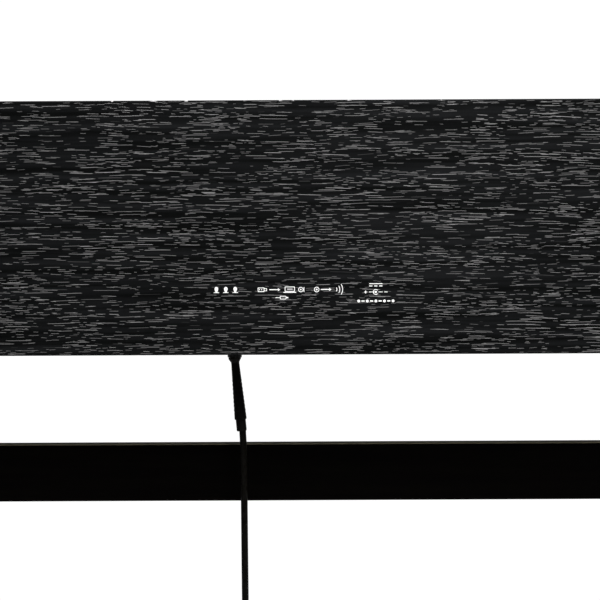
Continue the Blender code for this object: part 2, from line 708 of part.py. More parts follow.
def build_keybed():
    """Folded steel chassis under the keys, with the contact strip, and the felt over the keys' ends."""
    half = KEYS_HALF + GAP
    low = FLOOR_TOP + GAP
    ledge = KEY_BOTTOM - CHASSIS_LEDGE_DROP
    tail = KEY_BOTTOM - CHASSIS_TAIL_DROP
    trough = FLOOR_TOP + CHASSIS_FLOOR
    front, back = KEY_FRONT + CHASSIS_SET, PIVOT.y + CHASSIS_TAIL
    rise = PIVOT.y - HINGE_STRIP_DEPTH / 2 - CHASSIS_SET
    path = [(front, low), (front, ledge), (front + CHASSIS_LEDGE, ledge), (front + CHASSIS_LEDGE, trough),
            (rise, trough), (rise, tail), (back, tail), (back, low)]
    folded_sheet("keybed_chassis", path, half, CHASSIS_SHEET, steel_sheet())
    middle = (front + CHASSIS_LEDGE + rise) / 2
    board_top = trough + GAP + CIRCUIT_BOARD
    foot, height = CONTACT_STRIP
    board = block("contact_board", (-KEYS_HALF, middle - CONTACT_BOARD_DEPTH / 2, trough + GAP),
                  (KEYS_HALF, middle + CONTACT_BOARD_DEPTH / 2, board_top), board_green())
    sunk, reach = board_top - CIRCUIT_BOARD / 2, KEYS_HALF - CONTACT_STRIP_SET
    strip = [(middle - foot / 2, sunk), (middle + foot / 2, sunk), (middle + foot / 4, board_top + height),
             (middle - foot / 4, board_top + height)]
    join(board, plate("contact_strip", [strip], -reach, reach, "YZ", collection="cutters"))
    felt_front, felt_low = KEY_END + FELT_SET, KEY_TOP + FELT_LIFT
    block("key_felt", (-KEYS_HALF, felt_front, felt_low),
          (KEYS_HALF, felt_front + FELT_DEPTH, felt_low + FELT_HEIGHT), finish("red felt", "8e1c22", 0.95))


# Electronics


def build_jack_plate():
    """Recessed plate in the notch of the bottom board, screwed down by a flange that lies on the board."""
    half = PLATE_HALF_WIDTH - GAP
    front, back = BACK_INNER - PLATE_DEPTH + GAP, BACK_INNER - GAP
    high = FLOOR_TOP + GAP + PLATE_RIM
    tray = block("jack_plate", (-half, front, PLATE_LOW), (half, back, high), black_plastic())
    join(tray, block("plate_flange", (-half - PLATE_FLANGE, front - PLATE_FLANGE, FLOOR_TOP + GAP),
                     (half + PLATE_FLANGE, back, high), collection="cutters"))
    cut(tray, block("plate_hollow", (-half + PLATE_WALL, front + PLATE_WALL, PLATE_HIGH),
                    (half - PLATE_WALL, back + PAST, high + PAST), collection="cutters"))
    for name, x in (("pedal", PEDAL_JACK_X), ("line", LINE_OUT_X), ("dc", DC_X)):
        cut(tray, rod(f"{name}_hole", (x, JACK_Y, PLATE_LOW), THREAD_RADIUS + GAP, 2 * PAST,
                      collection="cutters"))
    reach = USB_WIDTH / 2 + GAP
    cut(tray, block("usb_hole", (USB_X - reach, JACK_Y - reach, PLATE_LOW - PAST),
                    (USB_X + reach, JACK_Y + reach, PLATE_HIGH + PAST), collection="cutters"))


def jack_body(name, x, lowest):
    """Square body on the main board and a round barrel through the plate."""
    half = JACK_BODY / 2
    body = block(name, (x - half, JACK_Y - half, PLATE_HIGH + GAP),
                 (x + half, JACK_Y + half, BOARD_LOW - GAP), black_plastic())
    highest = PLATE_HIGH + THREAD_LAP
    join(body, rod(f"{name}_barrel", (x, JACK_Y, (lowest + highest) / 2), THREAD_RADIUS, highest - lowest,
                   collection="cutters"))
    return body


def on_usb(name, size, low, high):
    """A cutter on the USB socket's axis, of this width and depth, between two heights."""
    width, depth = size
    return block(name, (USB_X - width / 2, JACK_Y - depth / 2, low),
                 (USB_X + width / 2, JACK_Y + depth / 2, high), collection="cutters")


def build_connectors():
    back, top = BACK_INNER - MAIN_BOARD_SET, BOARD_LOW + CIRCUIT_BOARD
    board = block("main_board", (-PLATE_HALF_WIDTH, back - MAIN_BOARD_DEPTH, BOARD_LOW),
                  (PLATE_HALF_WIDTH, back, top), board_green())
    width, depth, height = PROCESSOR
    middle = BACK_INNER - PROCESSOR_SET
    join(board, block("processor", (-width / 2, middle - depth / 2, top - CIRCUIT_BOARD / 2),
                      (width / 2, middle + depth / 2, top + height), collection="cutters"))
    collar_low = UNDERSIDE + COLLAR_LOW
    pedal = jack_body("pedal_jack", PEDAL_JACK_X, collar_low + THREAD_END)
    collar_top = PLATE_LOW - GAP
    join(pedal, rod("pedal_collar", (PEDAL_JACK_X, JACK_Y, (collar_low + collar_top) / 2), COLLAR_RADIUS,
                    collar_top - collar_low, collection="cutters"))
    cut(pedal, rod("pedal_bore", (PEDAL_JACK_X, JACK_Y, collar_low), JACK_BORE, 2 * JACK_BORE_DEPTH,
                   collection="cutters", sides=16))
    line = jack_body("line_out_jack", LINE_OUT_X, UNDERSIDE + THREAD_END)
    cut(line, rod("line_bore", (LINE_OUT_X, JACK_Y, UNDERSIDE), MINI_JACK_BORE, 2 * JACK_BORE_DEPTH,
                  collection="cutters", sides=16))
    inlet = jack_body("dc_inlet", DC_X, UNDERSIDE + THREAD_END)
    ring = rod("dc_bore", (DC_X, JACK_Y, UNDERSIDE), DC_BORE, 2 * JACK_BORE_DEPTH, collection="cutters",
               sides=16)
    cut(ring, rod("dc_pin", (DC_X, JACK_Y, UNDERSIDE + THREAD_END + DC_PIN_SET), DC_PIN,
                  DC_PIN_SET + 2 * JACK_BORE_DEPTH, collection="cutters", sides=8))
    cut(inlet, ring)
    reach = USB_WIDTH / 2
    usb = block("usb_socket", (USB_X - reach, JACK_Y - reach, UNDERSIDE + THREAD_END),
                (USB_X + reach, JACK_Y + reach, BOARD_LOW - GAP), steel_sheet())
    mouth = on_usb("usb_mouth", USB_MOUTH, UNDERSIDE - PAST, UNDERSIDE + USB_MOUTH_DEPTH)
    cut(mouth, on_usb("usb_tongue", USB_TONGUE, UNDERSIDE + USB_TONGUE_SET, UNDERSIDE + 2 * PAST))
    cut(usb, mouth)


def build_phones_box():
    """Small box under the case's front edge, with two sockets that face the player."""
    width, depth, height = PHONES_SIZE
    front = FRONT + PHONES_SET
    box = block("headphone_jacks", (PHONES_X - width / 2, front, UNDERSIDE - GAP - height),
                (PHONES_X + width / 2, front + depth, UNDERSIDE - GAP), black_plastic(), edge=BOX_EDGE)
    for i, x in enumerate((PHONES_X - PHONES_PITCH / 2, PHONES_X + PHONES_PITCH / 2)):
        cut(box, rod(f"phones_bore_{i}", (x, front, UNDERSIDE - height / 2), MINI_JACK_BORE,
                     2 * PHONES_BORE_DEPTH, "Y", collection="cutters", sides=16))


def build_speakers():
    """Two drivers that face down on to the sound slots: flange, paper cone and magnet."""
    radius, height = SPEAKER_RADIUS, SPEAKER_HEIGHT
    (rim, thickness), waist = SPEAKER_FLANGE, height - MAGNET_HEIGHT
    basket = [(0, height), (MAGNET_RADIUS, height), (MAGNET_RADIUS, waist), (BASKET_RADIUS, waist)]
    flange = [(radius - rim, thickness), (radius, thickness), (radius, 0)]
    cone = [(radius - 0.006, 0), (radius - 0.010, 0.003), (0.018, 0.018), (0.010, 0.013), (0, 0.011)]
    for side, x in (("left", -SPEAKER_X), ("right", SPEAKER_X)):
        speaker = turned(f"speaker_{side}", basket + flange + cone,
                         finish("speaker cone paper", "1a1a1b", 0.8))
        speaker.location = (x, SLIP_BACK + SPEAKER_SET, FLOOR_TOP + GAP)


# Pedal plug and cord


def build_plug():
    """Small plug in the pedal jack, pulled aside by its cord: pin, shoulder, grip and collar."""
    top = Vector((PEDAL_JACK_X, JACK_Y, UNDERSIDE + COLLAR_LOW - GAP))
    pin = [(0, PLUG_PIN_LENGTH), (PLUG_PIN, PLUG_PIN_LENGTH - 0.001), (PLUG_PIN, -0.0006)]
    shoulder = [(0.0044, -0.0006), (0.00295, -0.0030)]
    grip = [(0.0032, -0.0120), (0.0043, -0.0440), (0.0040, -0.0452)]
    collar = [(0.0036, -0.0454), (0.0036, -0.0526), (0, -0.0526)]
    plug = turned("pedal_plug", pin + shoulder + grip + collar, black_plastic(), steps=16)
    plug.location = top
    plug.rotation_euler = (0, PLUG_TILT, 0)


def smooth_route(points, spacing):
    """Points spaced evenly along a smooth curve through the given ones."""
    ends = [2 * Vector(points[0]) - Vector(points[1])] + [Vector(p) for p in points]
    ends.append(2 * ends[-1] - ends[-2])
    fine, steps = [ends[1]], 12
    for a, b, c, d in zip(ends, ends[1:], ends[2:], ends[3:]):
        for step in range(1, steps + 1):
            t = step / steps
            fine.append(0.5 * (2 * b + (c - a) * t + (2 * a - 5 * b + 4 * c - d) * t**2
                               + (3 * b - a - 3 * c + d) * t**3))
    length = sum((q - p).length for p, q in zip(fine, fine[1:]))
    count = round(length / spacing)
    route, target, walked = [fine[0]], length / count, 0.0
    for p, q in zip(fine, fine[1:]):
        run = (q - p).length
        while walked + run >= target * len(route) and len(route) < count:
            route.append(p.lerp(q, (target * len(route) - walked) / run))
        walked += run
    return route + [fine[-1]]


def build_cord():
    tube("pedal_cord", smooth_route(CORD_ROUTE, CORD_SPACING), CORD_DIAMETER / 2, cord_rubber())
    profile = [(0, GLAND_LENGTH), (0.0038, GLAND_LENGTH), (0.0048, 0.003), (GLAND_RADIUS, 0.0025),
               (GLAND_RADIUS, 0), (0, 0)]
    gland = turned("cable_gland", profile, black_plastic(), steps=16)
    gland.location = (GLAND_X, RAIL_BACK + GAP, GLAND_HEIGHT)
    gland.rotation_euler = (-math.pi / 2, 0, 0)


# Stand


def build_stand():
    toe = FRONT + FOOT_SLOPE
    pad = FOOT_PAD + FOOT_ARCH_RUN
    foot = [(FRONT, 0), (FRONT + FOOT_PAD, 0), (FRONT + pad, FOOT_ARCH), (BACK - pad, FOOT_ARCH),
            (BACK - FOOT_PAD, 0), (BACK, 0), (BACK, FOOT_HEIGHT), (toe, FOOT_HEIGHT), (FRONT, FOOT_TOE)]
    leg_back = BACK - LEG_INSET
    for side, sign in (("left", -1), ("right", 1)):
        low, high = sorted((sign * (BODY_HALF - FOOT_WIDTH), sign * BODY_HALF))
        round_edges(plate(f"foot_{side}", [foot], low, high, "YZ", black_laminate()), FOOT_EDGE)
        low, high = sorted((sign * INNER_HALF, sign * BODY_HALF))
        block(f"leg_panel_{side}", (low, leg_back - LEG_DEPTH, FOOT_HEIGHT + GAP),
              (high, leg_back, UNDERSIDE - GAP), black_laminate(), edge=SIDE_EDGE)
    reach = INNER_HALF - GAP
    rail_top = UNDERSIDE - RAIL_DROP
    block("rear_rail", (-reach, RAIL_FRONT, rail_top - RAIL_HEIGHT), (reach, RAIL_BACK, rail_top),
          dark_rail_laminate(), edge=BOARD_EDGE)
    block("pedal_beam", (-reach, RAIL_FRONT, BEAM_BOTTOM), (reach, RAIL_BACK, BEAM_BOTTOM + BEAM_HEIGHT),
          dark_rail_laminate(), edge=BOARD_EDGE)


def pedal_outline(x):
    """Plan of one pedal: a rounded tip that narrows to the lever."""
    tip, tail = PEDAL_AXIS.y - PEDAL_LENGTH, PEDAL_AXIS.y + PEDAL_TAIL
    shoulder = tip + PEDAL_PAD_LENGTH
    nose = tip + PEDAL_TIP_HALF
    outline = arc((x, nose), PEDAL_TIP_HALF, 180, 360, 10)
    widest = nose + PEDAL_PAD_STRAIGHT
    outline += [(x + PEDAL_TIP_HALF, widest), (x + PEDAL_NECK_HALF, shoulder), (x + PEDAL_NECK_HALF, tail),
                (x - PEDAL_NECK_HALF, tail), (x - PEDAL_NECK_HALF, shoulder), (x - PEDAL_TIP_HALF, widest)]
    return outline


def build_pedals():
    """Brass pedals on one axle, each pushed up by a coil spring, in a box on the pedal beam."""
    back = RAIL_FRONT - GAP
    front = back - HOUSING_DEPTH
    half, wall = HOUSING_HALF_WIDTH, HOUSING_WALL
    box = block("pedal_housing", (-half, front, BEAM_BOTTOM), (half, back, HOUSING_TOP), black_plastic())
    cut(box, block("housing_hollow", (-half + wall, front + wall, BEAM_BOTTOM + wall),
                   (half - wall, back + PAST, HOUSING_TOP - wall), collection="cutters"))
    inside = BEAM_BOTTOM + wall
    lever_low = PEDAL_AXIS.z - PEDAL_THICKNESS / 2
    for i, x in enumerate((-1.5 * PEDAL_PITCH, -0.5 * PEDAL_PITCH, 0.5 * PEDAL_PITCH, 1.5 * PEDAL_PITCH)):
        join(box, block(f"axle_rib_{i}",
                        (x - HOUSING_RIB / 2, PEDAL_AXIS.y - RIB_HALF_DEPTH, inside - wall / 2),
                        (x + HOUSING_RIB / 2, PEDAL_AXIS.y + RIB_HALF_DEPTH, inside + RIB_HEIGHT),
                        collection="cutters"))
    reach = 1.5 * PEDAL_PITCH + HOUSING_RIB
    bore = AXLE_RADIUS + AXLE_CLEARANCE
    cut(box, rod("axle_bore", PEDAL_AXIS, bore, 2 * reach + PAST, "X", collection="cutters"))
    rod("pedal_axle", PEDAL_AXIS, AXLE_RADIUS, 2 * reach, "X", steel_sheet())
    gape = PEDAL_NECK_HALF + PEDAL_SLOT_CLEARANCE
    for name, x in (("soft", -PEDAL_PITCH), ("sostenuto", 0), ("damper", PEDAL_PITCH)):
        cut(box, block(f"{name}_slot", (x - gape, front - PAST, inside + SLOT_SILL),
                       (x + gape, front + 2 * wall, lever_low + PEDAL_THICKNESS + SLOT_HEAD),
                       collection="cutters"))
        pedal = plate(f"pedal_{name}", [pedal_outline(x)], lever_low, lever_low + PEDAL_THICKNESS,
                      coat=polished_brass())
        set_origin(pedal, (x, PEDAL_AXIS.y, PEDAL_AXIS.z))
        round_edges(pedal, PEDAL_EDGE)
        cut(pedal, rod(f"{name}_bore", (x, PEDAL_AXIS.y, PEDAL_AXIS.z), bore, 2 * PEDAL_TIP_HALF, "X",
                       collection="cutters"))
        low, high = inside + GAP + SPRING_WIRE, lever_low - GAP - SPRING_WIRE
        steps = SPRING_SIDES * SPRING_TURNS
        coil = [(x + SPRING_RADIUS * math.cos(math.tau * i / SPRING_SIDES),
                 PEDAL_AXIS.y - SPRING_SET + SPRING_RADIUS * math.sin(math.tau * i / SPRING_SIDES),
                 low + (high - low) * i / steps) for i in range(steps + 1)]
        tube(f"pedal_spring_{name}", coil, SPRING_WIRE, steel_sheet())


def main():
    for old in list(bpy.data.objects):
        bpy.data.objects.remove(old)
    COLLECTIONS["parts"] = new_collection(OBJECT_NAME)
    COLLECTIONS["cutters"] = new_collection("cutters")
    build_boards()
    build_sides()
    build_fascia()
    build_music_rest()
    build_keys()
    build_keybed()
    build_jack_plate()
    build_connectors()
    build_phones_box()
    build_speakers()
    build_plug()
    build_cord()
    build_stand()
    build_pedals()


COLLECTIONS = {}
main()
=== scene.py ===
"""Looks of a digital piano on its stand: printed case, keys, pedals, cord, controls and symbols."""

from __future__ import annotations

import json
import logging
import math
from dataclasses import dataclass
from enum import Enum
from typing import Callable, Iterable, Sequence

import bmesh
import bpy
from mathutils import Matrix, Vector

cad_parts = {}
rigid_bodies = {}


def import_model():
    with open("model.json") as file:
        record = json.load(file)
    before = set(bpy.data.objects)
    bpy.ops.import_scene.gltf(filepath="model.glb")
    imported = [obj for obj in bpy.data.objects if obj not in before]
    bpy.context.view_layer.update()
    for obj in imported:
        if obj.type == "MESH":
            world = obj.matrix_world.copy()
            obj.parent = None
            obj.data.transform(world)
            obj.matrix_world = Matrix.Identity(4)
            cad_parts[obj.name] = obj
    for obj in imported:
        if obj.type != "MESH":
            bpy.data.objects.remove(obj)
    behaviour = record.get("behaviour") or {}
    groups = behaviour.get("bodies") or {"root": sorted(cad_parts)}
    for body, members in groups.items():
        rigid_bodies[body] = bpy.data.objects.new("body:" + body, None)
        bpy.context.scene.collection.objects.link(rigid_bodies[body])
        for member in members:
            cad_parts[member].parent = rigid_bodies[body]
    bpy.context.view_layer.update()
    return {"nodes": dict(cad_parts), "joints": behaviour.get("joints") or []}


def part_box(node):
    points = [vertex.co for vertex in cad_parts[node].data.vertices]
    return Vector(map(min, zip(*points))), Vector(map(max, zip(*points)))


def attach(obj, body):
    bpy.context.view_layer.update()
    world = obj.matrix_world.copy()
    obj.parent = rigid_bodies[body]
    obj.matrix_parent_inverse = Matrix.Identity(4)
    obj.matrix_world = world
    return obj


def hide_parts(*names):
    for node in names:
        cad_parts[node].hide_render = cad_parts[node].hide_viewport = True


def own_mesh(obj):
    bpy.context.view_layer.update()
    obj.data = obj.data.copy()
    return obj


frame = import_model()
LOG = logging.getLogger("digital_piano")
BASE = "case_and_stand"
MM = 0.001

Point = Sequence[float]
Piece = bpy.types.Object
NodeTree = bpy.types.NodeTree
Node = bpy.types.Node
Socket = bpy.types.NodeSocket

# Most of a noise lies between these values.
NOISE_LOW, NOISE_HIGH = 0.3, 0.7
# Edges sharper than the first are rounded, and sharper than the second are left crisp when shaded.
EDGE_ANGLE, CREASE_ANGLE = math.radians(35), math.radians(38)
# Turn of a screw that is driven in from below.
UPSIDE_DOWN = (math.pi, 0, 0)


# Finishes


def srgb(code: str) -> tuple[float, float, float, float]:
    """Turn an sRGB hex colour to linear RGBA."""
    parts = [int(code[i : i + 2], 16) / 255 for i in (0, 2, 4)]
    red, green, blue = (c / 12.92 if c <= 0.04045 else ((c + 0.055) / 1.055) ** 2.4 for c in parts)
    return red, green, blue, 1.0


def node(tree: NodeTree, kind: str, inputs: dict | Sequence = (), **settings: object) -> Node:
    """Add a node with its settings, its values and its links.

    Args:
        tree: The tree that takes the node.
        kind: Blender's name of the node type.
        inputs: Values, or the sockets that feed them: in the node's own order, or by socket name or number.
        **settings: Properties of the node.

    Returns:
        The new node.
    """
    made = tree.nodes.new(kind)
    for name, value in settings.items():
        setattr(made, name, value)
    for key, value in inputs.items() if isinstance(inputs, dict) else enumerate(inputs):
        if isinstance(value, Socket):
            tree.links.new(value, made.inputs[key])
        else:
            made.inputs[key].default_value = value
    return made


class Run(Enum):
    """Axis that a board's printed grain follows."""

    LENGTH = "X"
    DEPTH = "Y"
    HEIGHT = "Z"


@dataclass(frozen=True)
class Finish:
    """A surface: what it is made of and how it was made."""

    name: str
    colour: str
    roughness: float = 0.4
    metallic: float = 0.0

    def material(self) -> bpy.types.Material:
        """Make the material of this finish, once.

        Returns:
            The Blender material.
        """
        made = bpy.data.materials.get(self.name)
        if made is None:
            made = bpy.data.materials.new(self.name)
            made.use_nodes = True
            made.diffuse_color = srgb(self.colour)
            shader = made.node_tree.nodes["Principled BSDF"]
            shader.inputs["Base Color"].default_value = srgb(self.colour)
            shader.inputs["Roughness"].default_value = self.roughness
            shader.inputs["Metallic"].default_value = self.metallic
            self.shade(made.node_tree, shader)
        return made

    def shade(self, tree: NodeTree, shader: Node) -> None:
        """Add what this finish has beyond one colour; the plain finish adds a fine unevenness.

        Args:
            tree: The material's tree.
            shader: Its surface shader.
        """
        # The real unevenness is finer; it is drawn as coarse as it needs to show.
        grain = speckle(tree, 0.4 * MM)
        vary_roughness(tree, shader, grain, self.roughness, 0.06)
        raise_surface(tree, shader, grain, 0.02 * MM)


def place(tree: NodeTree) -> Socket:
    """Return the point on the piece, in metres."""
    return node(tree, "ShaderNodeTexCoord").outputs["Object"]


def speckle(tree: NodeTree, size: float, stretch: Point = (1, 1, 1), detail: float = 2) -> Socket:
    """Spread a noise over a piece.

    Args:
        tree: The material's tree.
        size: Distance between spots, in metres.
        stretch: How much longer the spots are along X, Y and Z.
        detail: Octaves of the noise.

    Returns:
        The noise, from 0 to 1.
    """
    scale = [1 / (size * s) for s in stretch]
    fitted = node(tree, "ShaderNodeVectorMath", (place(tree), scale), operation="MULTIPLY").outputs[0]
    return node(tree, "ShaderNodeTexNoise", {"Vector": fitted, "Scale": 1.0, "Detail": detail}).outputs[0]


def vary_roughness(tree: NodeTree, shader: Node, value: Socket, middle: float, reach: float) -> None:
    """Let the roughness follow a noise, a little above and below its middle value."""
    varied = node(tree, "ShaderNodeMapRange", (value, NOISE_LOW, NOISE_HIGH, middle - reach, middle + reach))
    tree.links.new(varied.outputs[0], shader.inputs["Roughness"])


def raise_surface(tree: NodeTree, shader: Node, value: Socket, height: float, strength: float = 0.6) -> None:
    """Raise the surface by a pattern, in metres."""
    bump = node(tree, "ShaderNodeBump", {"Height": value, "Distance": height, "Strength": strength})
    tree.links.new(bump.outputs[0], shader.inputs["Normal"])


def colour_by_noise(tree: NodeTree, shader: Node, value: Socket, first: str, second: str) -> None:
    """Let the colour follow a noise from one hex colour to another.

    Args:
        tree: The material's tree.
        shader: Its surface shader.
        value: The noise.
        first: Colour where the noise is low.
        second: Colour where it is high.
    """
    share = node(tree, "ShaderNodeMapRange", (value, NOISE_LOW, NOISE_HIGH, 0.0, 1.0)).outputs[0]
    mixed = node(tree, "ShaderNodeMix", {0: share, 6: srgb(first), 7: srgb(second)}, data_type="RGBA")
    tree.links.new(mixed.outputs[2], shader.inputs["Base Color"])


@dataclass(frozen=True)
class Pores:
    """One size of printed pore: cell length and height in metres, crowding threshold and pattern offset."""

    along: float
    across: float
    sparse: float
    offset: float


@dataclass(frozen=True)
class PrintedLaminate(Finish):
    """Melamine foil on particle board, printed with short pale pores on a near-black ground.

    The pores run along the grain, crowded in some places and sparse in others. A spacing is a length along
    and a length across the grain. A dash's sizes are shares of its cell: the least and what chance adds.
    """

    run: Run = Run.LENGTH
    pore_colour: str = "cac8c8"
    ground_high: str = "1a1b1c"
    pore_share: float = 1.0
    gloss: float = 0.05
    pore_sizes: tuple[Pores, ...] = (
        Pores(23 * MM, 2.3 * MM, 0.536, 3.1),
        Pores(13 * MM, 2.0 * MM, 0.567, 11.7),
        Pores(6.5 * MM, 1.8 * MM, 0.592, 27.3),
    )
    half_length: tuple[float, float] = (0.14, 0.34)
    half_height: tuple[float, float] = (0.025, 0.035)
    brightness: tuple[float, float] = (0.65, 0.35)
    lean: float = 0.6
    thin_first: float = 0.6
    fade_along: float = 0.05
    fade_across: float = 0.035
    fade_crowd: float = 0.03
    crowd_spacing: tuple[float, float] = (52 * MM, 17 * MM)
    sway_spacing: tuple[float, float] = (55 * MM, 14 * MM)
    sway: float = 0.7 * MM
    streak_spacing: tuple[float, float] = (160 * MM, 5 * MM)
    cut_face: float = 0.25

    def shade(self, tree: NodeTree, shader: Node) -> None:
        """Lay the pores over a streaked ground.

        Args:
            tree: The material's tree.
            shader: Its surface shader.
        """
        shader.inputs["Specular IOR Level"].default_value = self.gloss
        grain = self.bend(tree, self.unroll(tree))
        mask, *layers = [self.pores(tree, grain, size) for size in self.pore_sizes]
        for layer in layers:
            mask = node(tree, "ShaderNodeMath", (mask, layer), operation="MAXIMUM").outputs[0]
        streaks = self.drift(tree, grain, self.streak_spacing, 4.0)
        high = node(tree, "ShaderNodeMapRange", (streaks, 0.35, 0.7, 0.0, 1.0)).outputs[0]
        share = node(tree, "ShaderNodeMath", (mask, self.pore_share), operation="MULTIPLY").outputs[0]
        colour = srgb(self.colour)
        for part, over in ((high, self.ground_high), (share, self.pore_colour)):
            mixed = node(tree, "ShaderNodeMix", {0: part, 6: colour, 7: srgb(over)}, data_type="RGBA")
            colour = mixed.outputs[2]
        tree.links.new(colour, shader.inputs["Base Color"])
        rough = node(tree, "ShaderNodeMapRange", (mask, 0.0, 1.0, self.roughness, self.roughness + 0.15))
        tree.links.new(rough.outputs[0], shader.inputs["Roughness"])
        raise_surface(tree, shader, mask, -0.05 * MM, 0.5)

    def unroll(self, tree: NodeTree) -> Socket:
        """Measure along and across the grain, which turns down with the edge banding where a face cuts the
        run.

        Args:
            tree: The material's tree.

        Returns:
            The point on the face, along and across the grain.
        """
        axes = node(tree, "ShaderNodeSeparateXYZ", (place(tree),)).outputs
        normal = node(tree, "ShaderNodeTexCoord").outputs["Normal"]
        facing = node(tree, "ShaderNodeSeparateXYZ", (normal,)).outputs[self.run.value]
        first, second = (axes[run.value] for run in Run if run is not self.run)
        size = node(tree, "ShaderNodeMath", (facing,), operation="ABSOLUTE").outputs[0]
        cut = node(tree, "ShaderNodeMath", (size, self.cut_face), operation="GREATER_THAN").outputs[0]
        kept = node(tree, "ShaderNodeMath", (1.0, cut), operation="SUBTRACT").outputs[0]
        along = node(tree, "ShaderNodeMath", (second, cut, axes[self.run.value]), operation="MULTIPLY_ADD")
        across = node(tree, "ShaderNodeMath", (second, kept, first), operation="MULTIPLY_ADD")
        return node(tree, "ShaderNodeCombineXYZ", (along.outputs[0], across.outputs[0])).outputs[0]

    def drift(self, tree: NodeTree, flat: Socket, spacing: Point, detail: float) -> Socket:
        """Spread a flat noise along and across the grain.

        Args:
            tree: The material's tree.
            flat: Point on the face.
            spacing: Distance between spots, along and across.
            detail: Octaves of the noise.

        Returns:
            The noise, from 0 to 1.
        """
        scale = (1 / spacing[0], 1 / spacing[1], 0)
        fitted = node(tree, "ShaderNodeVectorMath", (flat, scale), operation="MULTIPLY").outputs[0]
        noise = node(tree, "ShaderNodeTexNoise", {"Vector": fitted, "Scale": 1.0, "Detail": detail},
                     noise_dimensions="2D")
        return noise.outputs[0]

    def bend(self, tree: NodeTree, flat: Socket) -> Socket:
        """Let the grain sway slowly.

        Args:
            tree: The material's tree.
            flat: Point on the face.

        Returns:
            The point, moved a little across the grain.
        """
        slow = self.drift(tree, flat, self.sway_spacing, 1.0)
        lift = node(tree, "ShaderNodeMapRange", (slow, 0.2, 0.8, -self.sway, self.sway)).outputs[0]
        shift = node(tree, "ShaderNodeCombineXYZ", {"Y": lift}).outputs[0]
        return node(tree, "ShaderNodeVectorMath", (flat, shift), operation="ADD").outputs[0]

    def pores(self, tree: NodeTree, flat: Socket, size: Pores) -> Socket:
        """Draw one size of pore: a short tapered dash in each cell of a long thin grid.

        Args:
            tree: The material's tree.
            flat: Point on the face, along and across the grain.
            size: Spacing, crowding and offset of these pores.

        Returns:
            A mask, 1 on a pore.
        """
        scale = (1 / size.along, 1 / size.across, 0)
        cells = node(tree, "ShaderNodeVectorMath", (flat, scale, (size.offset, size.offset, 0)),
                     operation="MULTIPLY_ADD").outputs[0]
        cell = node(tree, "ShaderNodeTexVoronoi", {"Vector": cells, "Scale": 1.0}, voronoi_dimensions="2D")
        chance = node(tree, "ShaderNodeSeparateColor", (cell.outputs["Color"],)).outputs
        away = node(tree, "ShaderNodeVectorMath", (cells, cell.outputs["Position"]), operation="SUBTRACT")
        gap = node(tree, "ShaderNodeSeparateXYZ", (away.outputs[0],)).outputs
        dash = self.dash(tree, gap, chance)
        crowd_cells = (self.crowd_spacing[0] / size.along, self.crowd_spacing[1] / size.across)
        crowd = self.drift(tree, cell.outputs["Position"], crowd_cells, 2.0)
        thinness = node(tree, "ShaderNodeMath", (0.5, chance[2]), operation="SUBTRACT").outputs[0]
        mixed = node(tree, "ShaderNodeMath", (thinness, self.thin_first, crowd), operation="MULTIPLY_ADD")
        low, high = size.sparse - self.fade_crowd, size.sparse + self.fade_crowd
        shown = node(tree, "ShaderNodeMapRange", (mixed.outputs[0], low, high, 0.0, 1.0)).outputs[0]
        return node(tree, "ShaderNodeMath", (dash, shown), operation="MULTIPLY").outputs[0]

    def dash(self, tree: NodeTree, gap: Sequence[Socket], chance: Sequence[Socket]) -> Socket:
        """Draw the dash of a cell, with soft ends and sides.

        Args:
            tree: The material's tree.
            gap: Distance from the dash's middle along and across the grain, in cells.
            chance: Three values that differ from cell to cell, from 0 to 1.

        Returns:
            How bright the dash is at this point.
        """
        least_length, more_length = self.half_length
        least_height, more_height = self.half_height
        least_light, more_light = self.brightness
        turn = node(tree, "ShaderNodeMath", (chance[0], 0.5), operation="SUBTRACT").outputs[0]
        slant = node(tree, "ShaderNodeMath", (turn, gap[0]), operation="MULTIPLY").outputs[0]
        level = node(tree, "ShaderNodeMath", (slant, -self.lean, gap[1]), operation="MULTIPLY_ADD")
        light = node(tree, "ShaderNodeMath", (chance[0], more_light, least_light), operation="MULTIPLY_ADD")
        drawn = light.outputs[0]
        for distance, roll, more, least, inner, outer in (
            (gap[0], chance[1], more_length, least_length, -self.fade_along, 0.0),
            (level.outputs[0], chance[2], more_height, least_height, -self.fade_across, self.fade_across),
        ):
            reach = node(tree, "ShaderNodeMath", (distance,), operation="ABSOLUTE").outputs[0]
            limit = node(tree, "ShaderNodeMath", (roll, more, least), operation="MULTIPLY_ADD").outputs[0]
            past = node(tree, "ShaderNodeMath", (reach, limit), operation="SUBTRACT").outputs[0]
            soft = node(tree, "ShaderNodeMapRange", (past, inner, outer, 1.0, 0.0)).outputs[0]
            drawn = node(tree, "ShaderNodeMath", (drawn, soft), operation="MULTIPLY").outputs[0]
        return drawn


@dataclass(frozen=True)
class MouldedPlastic(Finish):
    """Injection-moulded ABS from a spark-eroded tool: a fine even texture that breaks up highlights."""

    # Such a texture is about 0.1 mm wide; it is drawn coarser, so that it shows.
    texture: float = 0.5 * MM
    depth: float = 0.03 * MM
    gloss: float = 0.5

    def shade(self, tree: NodeTree, shader: Node) -> None:
        """Roughen by the tool's texture and mottle slightly.

        Args:
            tree: The material's tree.
            shader: Its surface shader.
        """
        shader.inputs["IOR"].default_value = 1.53
        shader.inputs["Specular IOR Level"].default_value = self.gloss
        grain = speckle(tree, self.texture)
        vary_roughness(tree, shader, grain, self.roughness, 0.08)
        raise_surface(tree, shader, grain, self.depth)


